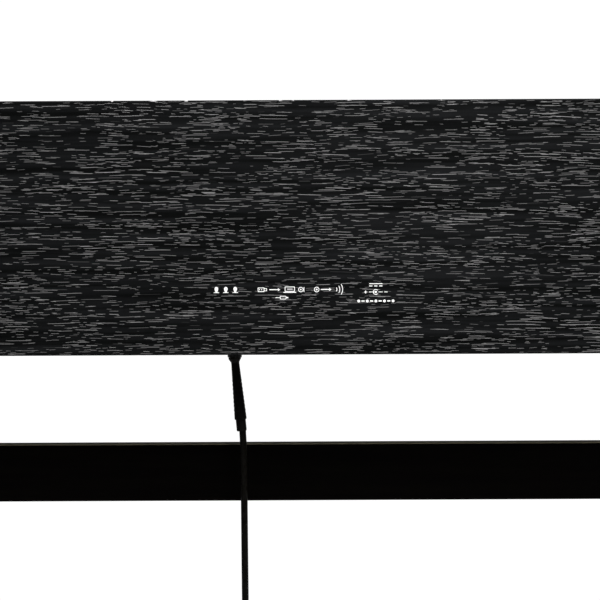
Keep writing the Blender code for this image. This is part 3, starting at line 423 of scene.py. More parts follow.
@dataclass(frozen=True)
class PolishedKey(Finish):
    """Moulded key plastic, polished on top: a soft deep gloss with faint flow marks along the key."""

    flow_colour: str = "efece4"

    def shade(self, tree: NodeTree, shader: Node) -> None:
        """Add the gloss coat and flow marks.

        Args:
            tree: The material's tree.
            shader: Its surface shader.
        """
        shader.inputs["Coat Weight"].default_value = 0.35
        shader.inputs["Coat Roughness"].default_value = 0.12
        shader.inputs["Subsurface Weight"].default_value = 0.08
        shader.inputs["Subsurface Radius"].default_value = (0.004, 0.003, 0.002)
        flow = speckle(tree, 3 * MM, (1, 12, 1))
        vary_roughness(tree, shader, flow, self.roughness, 0.05)
        colour_by_noise(tree, shader, flow, self.colour, self.flow_colour)


@dataclass(frozen=True)
class EbonyKey(Finish):
    """Matte black key plastic with a fine grain along the key, as on pressed sharps."""

    def shade(self, tree: NodeTree, shader: Node) -> None:
        """Add the pressed grain.

        Args:
            tree: The material's tree.
            shader: Its surface shader.
        """
        # Drawn coarser than the pressed grain is, so that it shows.
        grain = speckle(tree, 0.35 * MM, (1, 18, 1), 3)
        vary_roughness(tree, shader, grain, self.roughness, 0.1)
        raise_surface(tree, shader, grain, 0.05 * MM)


@dataclass(frozen=True)
class BuffedMetal(Finish):
    """Metal finished on a wheel or rolled: long fine scratches that stretch its highlights."""

    scratch: Point = (1, 30, 1)

    def shade(self, tree: NodeTree, shader: Node) -> None:
        """Add fine scratches and slow stains.

        Args:
            tree: The material's tree.
            shader: Its surface shader.
        """
        # Real scratches are under 0.1 mm wide; they are drawn as coarse as they need to show.
        lines = speckle(tree, 0.4 * MM, self.scratch, 3)
        stains = speckle(tree, 14 * MM)
        both = node(tree, "ShaderNodeMath", (lines, stains), operation="MULTIPLY").outputs[0]
        vary_roughness(tree, shader, both, self.roughness, 0.07)
        raise_surface(tree, shader, lines, 0.01 * MM, 0.4)


@dataclass(frozen=True)
class WovenFelt(Finish):
    """Pressed wool felt: short crossing fibres with a soft edge of light."""

    painted_fibre_shade: str = "5f1015"

    def shade(self, tree: NodeTree, shader: Node) -> None:
        """Add fibres, with painted shade in the hollows between them, and the sheen of wool.

        Args:
            tree: The material's tree.
            shader: Its surface shader.
        """
        shader.inputs["Sheen Weight"].default_value = 0.6
        shader.inputs["Sheen Roughness"].default_value = 0.5
        # Tufts of fibres; a single fibre is too fine to show.
        fibres = speckle(tree, 0.5 * MM, (5, 1, 1), 4)
        # Painted shade: the hollows between tufts, where the bump is low, are coloured darker red.
        colour_by_noise(tree, shader, fibres, self.painted_fibre_shade, self.colour)
        raise_surface(tree, shader, fibres, 0.3 * MM, 1.0)


@dataclass(frozen=True)
class CordJacket(Finish):
    """Extruded soft PVC: a dull skin with a slow orange peel."""

    def shade(self, tree: NodeTree, shader: Node) -> None:
        """Add orange peel.

        Args:
            tree: The material's tree.
            shader: Its surface shader.
        """
        shader.inputs["IOR"].default_value = 1.52
        shader.inputs["Specular IOR Level"].default_value = 0.1
        peel = speckle(tree, 1.4 * MM, (1, 1, 3))
        vary_roughness(tree, shader, peel, self.roughness, 0.15)
        raise_surface(tree, shader, peel, 0.12 * MM, 0.8)


@dataclass(frozen=True)
class ScreenInk(Finish):
    """Screen-printed white ink, with a painted glow that lifts it above plain white."""

    glow: float = 0.25

    def shade(self, tree: NodeTree, shader: Node) -> None:
        """Add a painted glow and the mesh's fine relief.

        Args:
            tree: The material's tree.
            shader: Its surface shader.
        """
        # Painted glow: the ink gives off light of its own, though it is no lamp.
        shader.inputs["Emission Color"].default_value = srgb("ffffff")
        shader.inputs["Emission Strength"].default_value = self.glow
        # The printing mesh is finer; its mark is drawn as coarse as it needs to show.
        raise_surface(tree, shader, speckle(tree, 0.3 * MM), 0.01 * MM)


class Palette:
    """Every finish of the piano."""

    long_board = PrintedLaminate("black printed laminate, grain along the case", "080909", 0.5)
    side_board = PrintedLaminate("black printed laminate, grain from front to back", "080909", 0.5,
                                 run=Run.DEPTH)
    leg_board = PrintedLaminate("black printed laminate, grain up the legs", "080909", 0.5, run=Run.HEIGHT)
    # The rails' colours are far darker than the boards': painted shade for the shadow that the case casts on
    # them.
    rail = PrintedLaminate("dark brown laminate of the rails, darkened as painted shade", "030202", 0.6, pore_colour="0e0b08",
                           ground_high="050403", pore_share=0.6, gloss=0.02)
    shell = MouldedPlastic("moulded black ABS, spark texture", "131314", 0.42)
    smooth = MouldedPlastic("moulded black ABS, satin", "0d0d0e", 0.38, texture=1.5 * MM, depth=0.01 * MM,
                            gloss=0.35)
    plug = MouldedPlastic("soft black PVC overmould", "090705", 0.5, texture=0.9 * MM, gloss=0.08)
    ivory = PolishedKey("polished white key plastic", "f6f3ea", 0.22)
    ebony = EbonyKey("matte black key plastic", "0f0f10", 0.42)
    brass = BuffedMetal("buffed brass", "d0ab5a", 0.2, 1.0)
    steel = BuffedMetal("galvanised steel sheet", "a9acae", 0.38, 1.0, scratch=(30, 1, 1))
    screw = BuffedMetal("black zinc-plated steel", "3a3a3c", 0.35, 1.0, scratch=(1, 1, 1))
    felt = WovenFelt("red wool felt", "a3232b", 0.95)
    mask = Finish("green solder mask", "1e6a3c", 0.35)
    cone = Finish("pressed cone paper", "171718", 0.85)
    cord = CordJacket("black PVC cord jacket", "080705", 0.36)
    ink = ScreenInk("white screen ink", "fafaf8", 0.6)
    # A pale olive strip over the rails' tops: a painted highlight for the light that their top faces catch.
    painted_highlight_strip = MouldedPlastic("olive-brown painted highlight on the rails' tops", "7e765f", 0.6, gloss=0.05)


# Pieces


def joint(name: str) -> dict:
    """Return a joint of the frame by name."""
    return next(j for j in frame["joints"] if j["name"] == name)


def corners(name: str) -> tuple[Vector, Vector]:
    """Return the lowest and highest corner of a CAD node."""
    low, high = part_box(name)
    return Vector(low), Vector(high)


def middle(name: str) -> list[float]:
    """Return the middle of a CAD node's box."""
    low, high = corners(name)
    return [(a + b) / 2 for a, b in zip(low, high)]


def new_object(name: str, bm: bmesh.types.BMesh) -> Piece:
    """Turn a bmesh into an object in the scene.

    Args:
        name: The object's name.
        bm: Its shape, which is freed.

    Returns:
        The object.
    """
    data = bpy.data.meshes.new(name)
    bm.to_mesh(data)
    bm.free()
    made = bpy.data.objects.new(name, data)
    bpy.context.scene.collection.objects.link(made)
    return made


def settle(piece: Piece, place_by: Matrix | None = None) -> Piece:
    """Make a piece a plain mesh with its place in its vertices and its object at the origin.

    Args:
        piece: The object, with any live modifiers.
        place_by: Where the piece goes, if it isn't there already.

    Returns:
        The same object.
    """
    bpy.context.view_layer.update()
    seen = piece.evaluated_get(bpy.context.evaluated_depsgraph_get())
    data = bpy.data.meshes.new_from_object(seen)
    piece.modifiers.clear()
    if piece.type != "MESH":
        name = piece.name
        bpy.data.objects.remove(piece)
        piece = bpy.data.objects.new(name, data)
        bpy.context.scene.collection.objects.link(piece)
    piece.data = data
    if place_by is not None:
        data.transform(place_by)
    return piece


def hand_over(piece: Piece, finish: Finish, body: str, slot: str, *nodes: str, smooth: bool = True) -> Piece:
    """Dress a piece and tie it to its body.

    Args:
        piece: A mesh whose place is in its vertices.
        finish: Its surface.
        body: The body that it rides on.
        slot: The record's material slot; not used.
        *nodes: CAD nodes that it stands for.
        smooth: Whether round faces are shaded smooth.

    Returns:
        The piece.
    """
    piece.data.materials.clear()
    piece.data.materials.append(finish.material())
    if smooth:
        piece.data.shade_smooth()
        piece.data.set_sharp_from_angle(angle=CREASE_ANGLE)
    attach(piece, body)
    if nodes:
        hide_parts(*nodes)
    LOG.info("%s rides on %s", piece.name, body)
    return piece


def dress(finish: Finish, *names: str) -> None:
    """Give CAD nodes whose shape is right their finish.

    Args:
        finish: Their surface.
        *names: The nodes.
    """
    for name in names:
        piece = frame["nodes"][name]
        piece.data.materials.clear()
        piece.data.materials.append(finish.material())
        LOG.info("%s keeps its shape", name)


def bevel(piece: Piece, width: float, segments: int) -> None:
    """Round the sharp edges of a piece.

    Args:
        piece: The object, whose modifiers are still live.
        width: How far the rounding reaches.
        segments: Faces across it.
    """
    made = piece.modifiers.new("rounded edges", "BEVEL")
    made.width = width
    made.segments = segments
    made.limit_method = "ANGLE"
    made.angle_limit = EDGE_ANGLE


def box_into(bm: bmesh.types.BMesh, low: Point, high: Point) -> list[bmesh.types.BMVert]:
    """Add a box.

    Args:
        bm: The shape that it joins.
        low: Its lowest corner.
        high: Its highest corner.

    Returns:
        Its vertices.
    """
    low, high = Vector(low), Vector(high)
    made = bmesh.ops.create_cube(bm, size=1.0)["verts"]
    for vert in made:
        vert.co = Vector(((vert.co[i] + 0.5) * (high[i] - low[i]) + low[i]) for i in range(3))
    return made


def prism_into(bm: bmesh.types.BMesh, outline: Sequence[Point], low: float, high: float) -> None:
    """Add a flat outline as a solid between two heights.

    Args:
        bm: The shape that it joins.
        outline: Points, counter-clockwise from above.
        low: Height of the bottom.
        high: Height of the top.
    """
    base = bm.faces.new([bm.verts.new((x, y, low)) for x, y in outline])
    raised = bmesh.ops.extrude_face_region(bm, geom=[base])["geom"]
    tops = [v for v in raised if isinstance(v, bmesh.types.BMVert)]
    bmesh.ops.translate(bm, vec=(0, 0, high - low), verts=tops)
    base.normal_flip()


def loft(name: str, rings: Sequence[Sequence[Point]]) -> Piece:
    """Skin a row of closed rings and close both ends.

    Args:
        name: The object's name.
        rings: Points of each ring, each with as many.

    Returns:
        The object.
    """
    bm = bmesh.new()
    rows = [[bm.verts.new(p) for p in ring] for ring in rings]
    for a, b in zip(rows, rows[1:]):
        for i in range(len(a)):
            j = (i + 1) % len(a)
            bm.faces.new((a[i], a[j], b[j], b[i]))
    bm.faces.new(rows[0][::-1])
    bm.faces.new(rows[-1])
    bmesh.ops.recalc_face_normals(bm, faces=bm.faces)
    return new_object(name, bm)


def lathe(name: str, profile: Sequence[Point], sides: int) -> Piece:
    """Turn a profile about Z, closed where it meets the axis.

    Args:
        name: The object's name.
        profile: Radius and height of each point, in millimetres.
        sides: Faces round the axis.

    Returns:
        The object.
    """
    bm = bmesh.new()
    rows = []
    for radius, height in ((r * MM, z * MM) for r, z in profile):
        if radius < 1e-7:
            rows.append([bm.verts.new((0, 0, height))])
        else:
            turns = (math.tau * i / sides for i in range(sides))
            rows.append([bm.verts.new((radius * math.cos(t), radius * math.sin(t), height)) for t in turns])
    for a, b in zip(rows, rows[1:]):
        for i in range(sides):
            j = (i + 1) % sides
            ring = [a[i % len(a)], a[j % len(a)], b[j % len(b)], b[i % len(b)]]
            bm.faces.new(list(dict.fromkeys(ring)))
    bmesh.ops.recalc_face_normals(bm, faces=bm.faces)
    return new_object(name, bm)


def arc(centre: Point, radius: float, start: float, end: float, count: int) -> list[tuple[float, float]]:
    """Return points of an arc, in degrees, with this count of steps."""
    turns = [math.radians(start + (end - start) * i / count) for i in range(count + 1)]
    return [(centre[0] + radius * math.cos(t), centre[1] + radius * math.sin(t)) for t in turns]


class Tree:
    """A Geometry Nodes tree with named inputs, which becomes a plain mesh."""

    def __init__(self, name: str, **inputs: float | Point) -> None:
        """Open a tree with a Geometry input and one input for each size.

        Args:
            name: The tree's name.
            **inputs: Sizes, by the names of their inputs.
        """
        self.tree = bpy.data.node_groups.new(name, "GeometryNodeTree")
        faces = self.tree.interface
        faces.new_socket("Geometry", in_out="INPUT", socket_type="NodeSocketGeometry")
        faces.new_socket("Geometry", in_out="OUTPUT", socket_type="NodeSocketGeometry")
        self.ids: dict[str, str] = {}
        self.values = inputs
        for key, value in inputs.items():
            kind = "NodeSocketVector" if isinstance(value, (tuple, Vector)) else "NodeSocketFloat"
            self.ids[key] = faces.new_socket(key, in_out="INPUT", socket_type=kind).identifier
        self.entry = node(self.tree, "NodeGroupInput")

    def __getitem__(self, key: str) -> Socket:
        """Return the socket of a named input."""
        return self.entry.outputs[key]

    def add(self, kind: str, inputs: dict | Sequence = (), **settings: object) -> Node:
        """Add a node to the tree."""
        return node(self.tree, kind, inputs, **settings)

    def grow(self, piece: Piece, result: Socket, finish: Finish) -> Piece:
        """Run the tree on a piece and leave the piece a plain mesh.

        Args:
            piece: The object whose geometry enters the tree.
            result: The socket of the finished geometry.
            finish: The finish that the tree sets.

        Returns:
            The piece.
        """
        real = self.add("GeometryNodeRealizeInstances", {"Geometry": result})
        paint = finish.material()
        coated = self.add("GeometryNodeSetMaterial", {"Geometry": real.outputs[0], "Material": paint})
        self.add("NodeGroupOutput", {"Geometry": coated.outputs[0]})
        modifier = piece.modifiers.new("grown", "NODES")
        modifier.node_group = self.tree
        for key, value in self.values.items():
            modifier[self.ids[key]] = value
        return settle(piece)


def seeds(name: str, places: Iterable[Point]) -> Piece:
    """Make loose points, for a tree to set pieces on.

    Args:
        name: The object's name.
        places: The points.

    Returns:
        The object.
    """
    bm = bmesh.new()
    for spot in places:
        bm.verts.new(spot)
    return new_object(name, bm)


# Sub-assemblies


@dataclass(frozen=True)
class SoftLight:
    """A square soft light: its place, what it is aimed at, its width in metres and its power in watts."""

    name: str
    where: Point
    target: Point
    size: float
    power: float


@dataclass
class Studio:
    """Camera behind the piano, soft light from above and a pale floor."""

    distance: float = 0.850
    eye_above_underside: float = 0.0383
    lens: float = 72.86
    roll: float = 0.26
    floor_colour: str = "dcdcdc"
    floor_drop: float = 0.5 * MM
    floor_reach: float = 0.85
    floor_rim: float = 1.5
    sky_turn: float = 0.35
    sky_in_front: float = 0.55
    sky_behind: float = 0.08
    sky_seen: float = 1.05
    lights: tuple[SoftLight, ...] = (
        SoftLight("overhead", (-0.45, 0.86, 2.1), (0, 0.17, 0.7), 0.7, 50),
        SoftLight("front", (0.9, -2.4, 2.3), (0, 0, 0.6), 2.2, 60),
        SoftLight("side", (-2.6, -0.4, 1.6), (0, 0, 0.6), 1.6, 28),
    )

    def build(self) -> None:
        """Place the camera, the lights, the floor and the sky."""
        bpy.context.scene.view_settings.view_transform = "Standard"
        self.add_camera()
        self.add_floor()
        self.add_sky()
        for light in self.lights:
            self.add_light(light)

    def add_camera(self) -> None:
        """Aim the camera squarely at the back panel."""
        low, high = corners("back_panel")
        data = bpy.data.cameras.new("camera")
        data.lens = self.lens
        data.sensor_width = 36
        data.clip_end = 100
        made = bpy.data.objects.new("camera", data)
        bpy.context.scene.collection.objects.link(made)
        turn = Matrix.Rotation(math.pi, 4, "Z") @ Matrix.Rotation(math.pi / 2, 4, "X")
        turn = turn @ Matrix.Rotation(math.radians(-self.roll), 4, "Z")
        eye = (0, high.y + self.distance, low.z + self.eye_above_underside)
        made.matrix_world = Matrix.Translation(eye) @ turn
        bpy.context.scene.camera = made

    def add_light(self, light: SoftLight) -> None:
        """Hang a light and aim it.

        Args:
            light: Its place and power.
        """
        data = bpy.data.lights.new(light.name, "AREA")
        data.size = light.size
        data.energy = light.power
        made = bpy.data.objects.new(light.name, data)
        bpy.context.scene.collection.objects.link(made)
        made.location = light.where
        way = Vector(light.target) - Vector(light.where)
        made.rotation_euler = way.to_track_quat("-Z", "Y").to_euler()

    def add_floor(self) -> None:
        """Lay a pale round floor just under the feet, which fades out at its rim."""
        bm = bmesh.new()
        bmesh.ops.create_grid(bm, x_segments=1, y_segments=1, size=self.floor_rim)
        bmesh.ops.translate(bm, vec=(0, 0, -self.floor_drop), verts=bm.verts)
        floor = new_object("floor", bm)
        paint = bpy.data.materials.new("pale floor paint")
        paint.use_nodes = True
        tree = paint.node_tree
        shader = tree.nodes["Principled BSDF"]
        shader.inputs["Base Color"].default_value = srgb(self.floor_colour)
        shader.inputs["Roughness"].default_value = 0.9
        away = node(tree, "ShaderNodeVectorMath", (place(tree),), operation="LENGTH").outputs["Value"]
        left = node(tree, "ShaderNodeMapRange", (away, self.floor_reach, self.floor_rim, 1.0, 0.0))
        tree.links.new(left.outputs[0], shader.inputs["Alpha"])
        floor.data.materials.append(paint)

    def add_sky(self) -> None:
        """Make the studio white to the eye, bright in front of the piano and dim behind it."""
        world = bpy.data.worlds.new("studio")
        bpy.context.scene.world = world
        world.use_nodes = True
        tree = world.node_tree
        tree.nodes.clear()
        way = node(tree, "ShaderNodeTexCoord").outputs["Generated"]
        depth = node(tree, "ShaderNodeSeparateXYZ", (way,)).outputs["Y"]
        glow = node(tree, "ShaderNodeMapRange",
                    (depth, -self.sky_turn, self.sky_turn, self.sky_in_front, self.sky_behind)).outputs[0]
        dim = node(tree, "ShaderNodeBackground", {"Color": srgb("ffffff"), "Strength": glow})
        bright = node(tree, "ShaderNodeBackground", {"Color": srgb("ffffff"), "Strength": self.sky_seen})
        eye = node(tree, "ShaderNodeLightPath").outputs["Is Camera Ray"]
        both = node(tree, "ShaderNodeMixShader", (eye, dim.outputs[0], bright.outputs[0]))
        node(tree, "ShaderNodeOutputWorld", {"Surface": both.outputs[0]})


@dataclass
class PedalLine:
    """Pedal cord with its plug in the jack and its gland in the pedal beam."""

    diameter: float = 5 * MM
    step: float = 6 * MM
    plug_tilt: float = 5.3
    plug_drop: float = 0.3 * MM
    route: tuple[Point, ...] = (
        (0.0420, 0.1425, 0.5438),
        (0.0414, 0.1425, 0.5300),
        (0.0411, 0.1425, 0.5000),
        (0.0408, 0.1425, 0.4500),
        (0.0404, 0.1425, 0.3900),
        (0.0401, 0.1426, 0.3300),
        (0.0399, 0.1427, 0.2700),
        (0.0396, 0.1430, 0.2150),
        (0.0392, 0.1433, 0.1650),
        (0.0381, 0.1442, 0.1200),
        (0.0353, 0.1457, 0.0830),
        (0.0302, 0.1479, 0.0575),
        (0.0222, 0.1511, 0.0405),
        (0.0108, 0.1548, 0.0318),
        (-0.0022, 0.1588, 0.0308),
        (-0.0140, 0.1624, 0.0362),
        (-0.0226, 0.1652, 0.0460),
        (-0.0276, 0.1669, 0.0575),
        (-0.0295, 0.1673, 0.0668),
        (-0.0299, 0.1656, 0.0750),
        (-0.0300, 0.1610, 0.0818),
        (-0.0300, 0.1543, 0.0864),
        (-0.0300, 0.1474, 0.0879),
        (-0.0300, 0.1412, 0.0880),
    )

    def build(self) -> None:
        line = self.smooth_line()
        data = bpy.data.curves.new("pedal_lead", "CURVE")
        data.dimensions = "3D"
        data.bevel_depth = self.diameter / 2
        data.bevel_resolution = 6
        data.use_fill_caps = True
        spline = data.splines.new("POLY")
        spline.points.add(len(line) - 1)
        for point, spot in zip(spline.points, line):
            point.co = (*spot, 1)
        data.materials.append(Palette.cord.material())
        cord = bpy.data.objects.new("pedal_lead", data)
        bpy.context.scene.collection.objects.link(cord)
        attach(cord, BASE)
        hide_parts("pedal_cord")
        plug, gland = self.make_plug(), self.make_gland()

    def smooth_line(self) -> list[Vector]:
        """Draw a smooth curve through the route.

        Returns:
            Close points from the gland to the plug.
        """
        given = [Vector(p) for p in reversed(self.route)]
        ends = [2 * given[0] - given[1], *given, 2 * given[-1] - given[-2]]
        line = [given[0]]
        for a, b, c, d in zip(ends, ends[1:], ends[2:], ends[3:]):
            count = max(2, round((c - b).length / self.step))
            for i in range(1, count + 1):
                t = i / count
                bend = 2 * a - 5 * b + 4 * c - d
                line.append(0.5 * (2 * b + (c - a) * t + bend * t**2 + (3 * b - a - 3 * c + d) * t**3))
        return line

    def make_plug(self) -> Piece:
        """Turn the plug: pin, shoulder, a grip that widens towards the cord, and a collar.

        Returns:
            The plug, handed over.
        """
        grip_top, grip_end, end = -4.2, -44.0, -53.2
        grip_slim, grip_wide, collar = 2.95, 4.4, 3.65
        pin, waist = 1.6, 1.45
        profile = [(0, 9.0), (1.2, 8.9), (pin, 8.2), (pin, 3.4), (waist, 3.2), (waist, 2.9), (pin, 2.7),
                   (pin, 0.4), (4.4, 0.4), (4.6, 0.1), (4.5, -0.9), (3.5, -2.4), (3.1, -3.2),
                   (grip_slim, grip_top)]
        ribs, first_rib, last_rib, groove_depth = 13, 0.3, 0.92, 0.1
        count = 4 * ribs
        for i in range(1, count):
            share = i / count
            wave = math.cos(math.tau * share * ribs) if first_rib < share < last_rib else 0.0
            radius = grip_slim + (grip_wide - grip_slim) * share + groove_depth * wave
            profile.append((radius, grip_top + (grip_end - grip_top) * share))
        profile += [(grip_wide, grip_end), (grip_wide - 0.1, -44.7), (collar, -44.9), (collar, -52.5),
                    (3.4, end), (0, end)]
        plug = lathe("pedal_lead_plug", profile, 32)
        under_jack = corners("pedal_jack")[0].z - self.plug_drop
        spot = (middle("pedal_jack")[0], middle("pedal_plug")[1], under_jack)
        settle(plug, Matrix.Translation(spot) @ Matrix.Rotation(math.radians(self.plug_tilt), 4, "Y"))
        return hand_over(plug, Palette.plug, BASE, "black_plastic", "pedal_plug")

    def make_gland(self) -> Piece:
        """Turn the ribbed rubber gland that the cord leaves the pedal beam by.

        Returns:
            The gland, handed over.
        """
        low, high = corners("cable_gland")
        depth = (high.y - low.y) / MM
        profile = [(0, depth), (3.6, depth), (3.8, depth - 0.2)]
        ribs, rib_pitch, rib_growth = 4, 2.2, 0.3
        for i in range(ribs):
            top = depth - 1.4 - i * rib_pitch
            wide = 3.9 + rib_growth * i
            slim = wide - 0.7
            profile += [(wide, top), (slim, top - 0.3), (slim, top - 0.9), (wide + rib_growth, top - 1.2)]
        profile += [(4.9, 2.6), (6.2, 2.4), (6.5, 2.0), (6.5, 0.0), (0, 0)]
        gland = lathe("cord_gland", profile, 32)
        x, _, z = middle("cable_gland")
        settle(gland, Matrix.Translation((x, low.y, z)) @ Matrix.Rotation(-math.pi / 2, 4, "X"))
        return hand_over(gland, Palette.plug, BASE, "cord_rubber", "cable_gland")


class Symbols:
    """White symbols printed on the back panel and the control panel: flat ink shapes, no lettering.

    Their sizes are in millimetres. STEP is the turn between the points of a round shape, in degrees.
    """

    THICKNESS = 0.06 * MM
    STEP = 18

    def __init__(self, name: str, seat: Matrix) -> None:
        """Open a print whose X runs right, Y runs up and Z stands off the surface.

        Args:
            name: The piece's name.
            seat: Where the print's centre lies and how it faces.
        """
        self.name = name
        self.seat = seat
        self.bm = bmesh.new()

    def shape(self, outline: Sequence[Point]) -> None:
        """Fill an outline, in millimetres, counter-clockwise."""
        prism_into(self.bm, [(x * MM, y * MM) for x, y in outline], 0, self.THICKNESS)

    def line(self, start: Point, end: Point, width: float = 0.65) -> None:
        """Draw a straight stroke with square ends.

        Args:
            start: Where it begins.
            end: Where it ends.
            width: Its width.
        """
        a, b = Vector(start[:2]), Vector(end[:2])
        way = (b - a).normalized()
        side = Vector((-way.y, way.x)) * width / 2
        self.shape([a - side, b - side, b + side, a + side])

    def disc(self, centre: Point, radius: float) -> None:
        """Fill a circle."""
        self.shape(arc(centre, radius, 0, 360 - self.STEP, round(360 / self.STEP) - 1))

    def ring(self, centre: Point, radius: float, width: float = 0.5, start: float = 0,
             end: float = 360) -> None:
        """Draw a circle or a part of one.

        Args:
            centre: Its middle.
            radius: Distance from the middle to the stroke's middle.
            width: The stroke's width.
            start: Where it begins, in degrees.
            end: Where it ends.
        """
        count = max(6, round((end - start) / self.STEP))
        outer = arc(centre, radius + width / 2, start, end, count)
        inner = arc(centre, radius - width / 2, start, end, count)
        for i in range(count):
            self.shape([inner[i], outer[i], outer[i + 1], inner[i + 1]])

    def arrow(self, start: Point, end: Point, width: float = 0.65, head: float = 1.6) -> None:
        """Draw a level arrow to the right.

        Args:
            start: Where its stroke begins.
            end: Its tip.
            width: The stroke's width.
            head: Length of the head.
        """
        (x, y), half = end, head * 0.7
        self.line(start, (x - head, y), width)
        self.shape([(x - head, y - half), (x, y), (x - head, y + half)])

    def frame(self, low: Point, high: Point, width: float = 0.5) -> None:
        """Draw a rectangle.

        Args:
            low: Its lower left corner.
            high: Its upper right corner.
            width: The stroke's width.
        """
        (x0, y0), (x1, y1) = low, high
        turns = [(x0, y0), (x1, y0), (x1, y1), (x0, y1), (x0, y0)]
        for a, b in zip(turns, turns[1:]):
            self.line(a, b, width)

    def finish(self) -> None:
        """Lay the print on its surface."""
        print_piece = new_object(self.name, self.bm)
        settle(print_piece, self.seat)
        hand_over(print_piece, Palette.ink, BASE, "key_ivory", smooth=False)


@dataclass
class Case:
    """Boards of the case, the printed symbols on the back, and the screws that hold it."""

    symbol_height: float = 45.6 * MM
    symbol_gap: float = 0.02 * MM
    pedal_symbol_x: float = 51.9 * MM
    screws_along: int = 6
    screw_inset: float = 30 * MM
    screw_radius: float = 3.6 * MM
    plug_room: float = 100 * MM

    def build(self) -> None:
        """Dress the boards, print the symbols and set the screws."""
        dress(Palette.long_board, "back_panel", "key_slip")
        dress(Palette.long_board, "top_board", "bottom_board")
        dress(Palette.side_board, "side_panel_left", "side_panel_right")
        dress(Palette.shell, "control_panel", "cheek_block_left", "cheek_block_right", "music_ledge")
        self.print_sockets()
        self.set_screws()

    def on_back(self, x: float, drop: float = 0.0) -> Matrix:
        """Find a seat on the back panel.

        Args:
            x: Where it lies along the case.
            drop: How far below the symbols' usual height.

        Returns:
            The seat, facing out of the back.
        """
        low, high = corners("back_panel")
        turn = Matrix.Rotation(math.pi, 4, "Z") @ Matrix.Rotation(math.pi / 2, 4, "X")
        return Matrix.Translation((x, high.y + self.symbol_gap, low.z + self.symbol_height - drop)) @ turn

    def print_sockets(self) -> None:
        """Print a symbol for each socket under the back edge."""
        self.print_pedals()
        self.print_computer()
        self.print_line_out()
        self.print_direct_current()

    def print_pedals(self) -> None:
        """Print three pedals over the pedal jack."""
        pedals = Symbols("symbol_pedals", self.on_back(self.pedal_symbol_x))
        neck, pad, floor = 0.5, 1.25, -1.9
        for x in (-6.6, 0.0, 6.6):
            crown = arc((x, 0.9), pad, 0, 180, 8)
            pedals.shape([(x - neck, floor), (x + neck, floor), (x + pad, 0.2), *crown, (x - pad, 0.2)])
            pedals.line((x - 1.9, floor), (x + 1.9, floor), 0.45)
        pedals.finish()

    def print_computer(self) -> None:
        """Print a plug, an arrow, a computer and a ring over the computer socket, and its link below."""
        usb = middle("usb_socket")[0]
        computer = Symbols("symbol_computer", self.on_back(usb))
        computer.frame((-16.5, -1.3), (-12.3, 1.3))
        computer.frame((-12.3, -0.8), (-10.5, 0.8), 0.45)
        for x in (-15.5, -14.0):
            computer.line((x, -0.4), (x, 0.6), 0.5)
        computer.arrow((-8.6, 0), (-1.0, 0))
        computer.frame((2.4, -1.2), (9.0, 1.9))
        computer.line((3.8, 0.35), (7.6, 0.35), 0.5)
        computer.line((1.2, -1.9), (10.2, -1.9), 0.6)
        computer.ring((13.4, 0.0), 1.6)
        computer.disc((13.4, 0.0), 0.6)
        computer.line((15.6, -1.7), (15.6, 1.7), 0.5)
        computer.finish()
        link = Symbols("symbol_link", self.on_back(usb, 5.6 * MM))
        link.line((-4.4, 0), (-1.0, 0), 0.5)
        link.frame((-1.0, -1.0), (3.0, 1.0), 0.45)
        link.line((3.0, 0), (4.6, 0), 0.9)
        link.finish()

    def print_line_out(self) -> None:
        """Print a plug, an arrow and three waves over the line-out jack."""
        line_out = Symbols("symbol_line_out", self.on_back(middle("line_out_jack")[0]))
        line_out.ring((-9.2, 0.0), 1.65)
        line_out.disc((-9.2, 0.0), 0.65)
        line_out.arrow((-6.4, 0), (1.2, 0))
        for reach in (2.4, 4.4, 6.4):
            line_out.ring((2.6, 0.0), reach, 0.5, -34, 34)
        line_out.finish()

    def print_direct_current(self) -> None:
        """Print the sign of direct current, the plug's polarity and a plain row over the inlet."""
        inlet = middle("dc_inlet")[0]
        power = Symbols("symbol_direct_current", self.on_back(inlet, -3.0 * MM))
        power.line((-4.6, 0.9), (4.6, 0.9), 0.6)
        for x in (-3.5, 0.0, 3.5):
            power.line((x - 1.1, -0.7), (x + 1.1, -0.7), 0.6)
        power.finish()
        polarity = Symbols("symbol_polarity", self.on_back(inlet, 1.9 * MM))
        polarity.line((-8.2, 0), (-6.0, 0), 0.5)
        polarity.line((-7.1, -1.1), (-7.1, 1.1), 0.5)
        polarity.line((-4.8, 0), (-0.9, 0), 0.45)
        polarity.disc((0, 0), 0.8)
        polarity.ring((0, 0), 1.75, 0.5, 40, 320)
        polarity.line((1.9, 0), (4.8, 0), 0.45)
        polarity.line((6.0, 0), (8.2, 0), 0.5)
        polarity.finish()
        row = Symbols("symbol_row", self.on_back(inlet, 8.2 * MM))
        for x in (-12.0, -6.0, 0.0, 6.0, 12.0):
            row.disc((x, 0), 1.0)
        for x in (-9.0, -3.0, 3.0, 9.0):
            row.line((x - 1.1, 0), (x + 1.1, 0), 0.9)
        row.finish()

    def set_screws(self) -> None:
        """Set screws along the bottom board's edges, clear of the pedal plug."""
        low, high = corners("bottom_board")
        inset, last = self.screw_inset, self.screws_along - 1
        span = [low.x + inset + (high.x - low.x - 2 * inset) * i / last for i in range(self.screws_along)]
        rows = (low.y + inset, high.y - 1.5 * inset)
        spots = [(x, y, low.z) for x in span for y in rows if abs(x) > self.plug_room or y < 0]
        Screws("case_screws", self.screw_radius, UPSIDE_DOWN).build(spots, BASE)


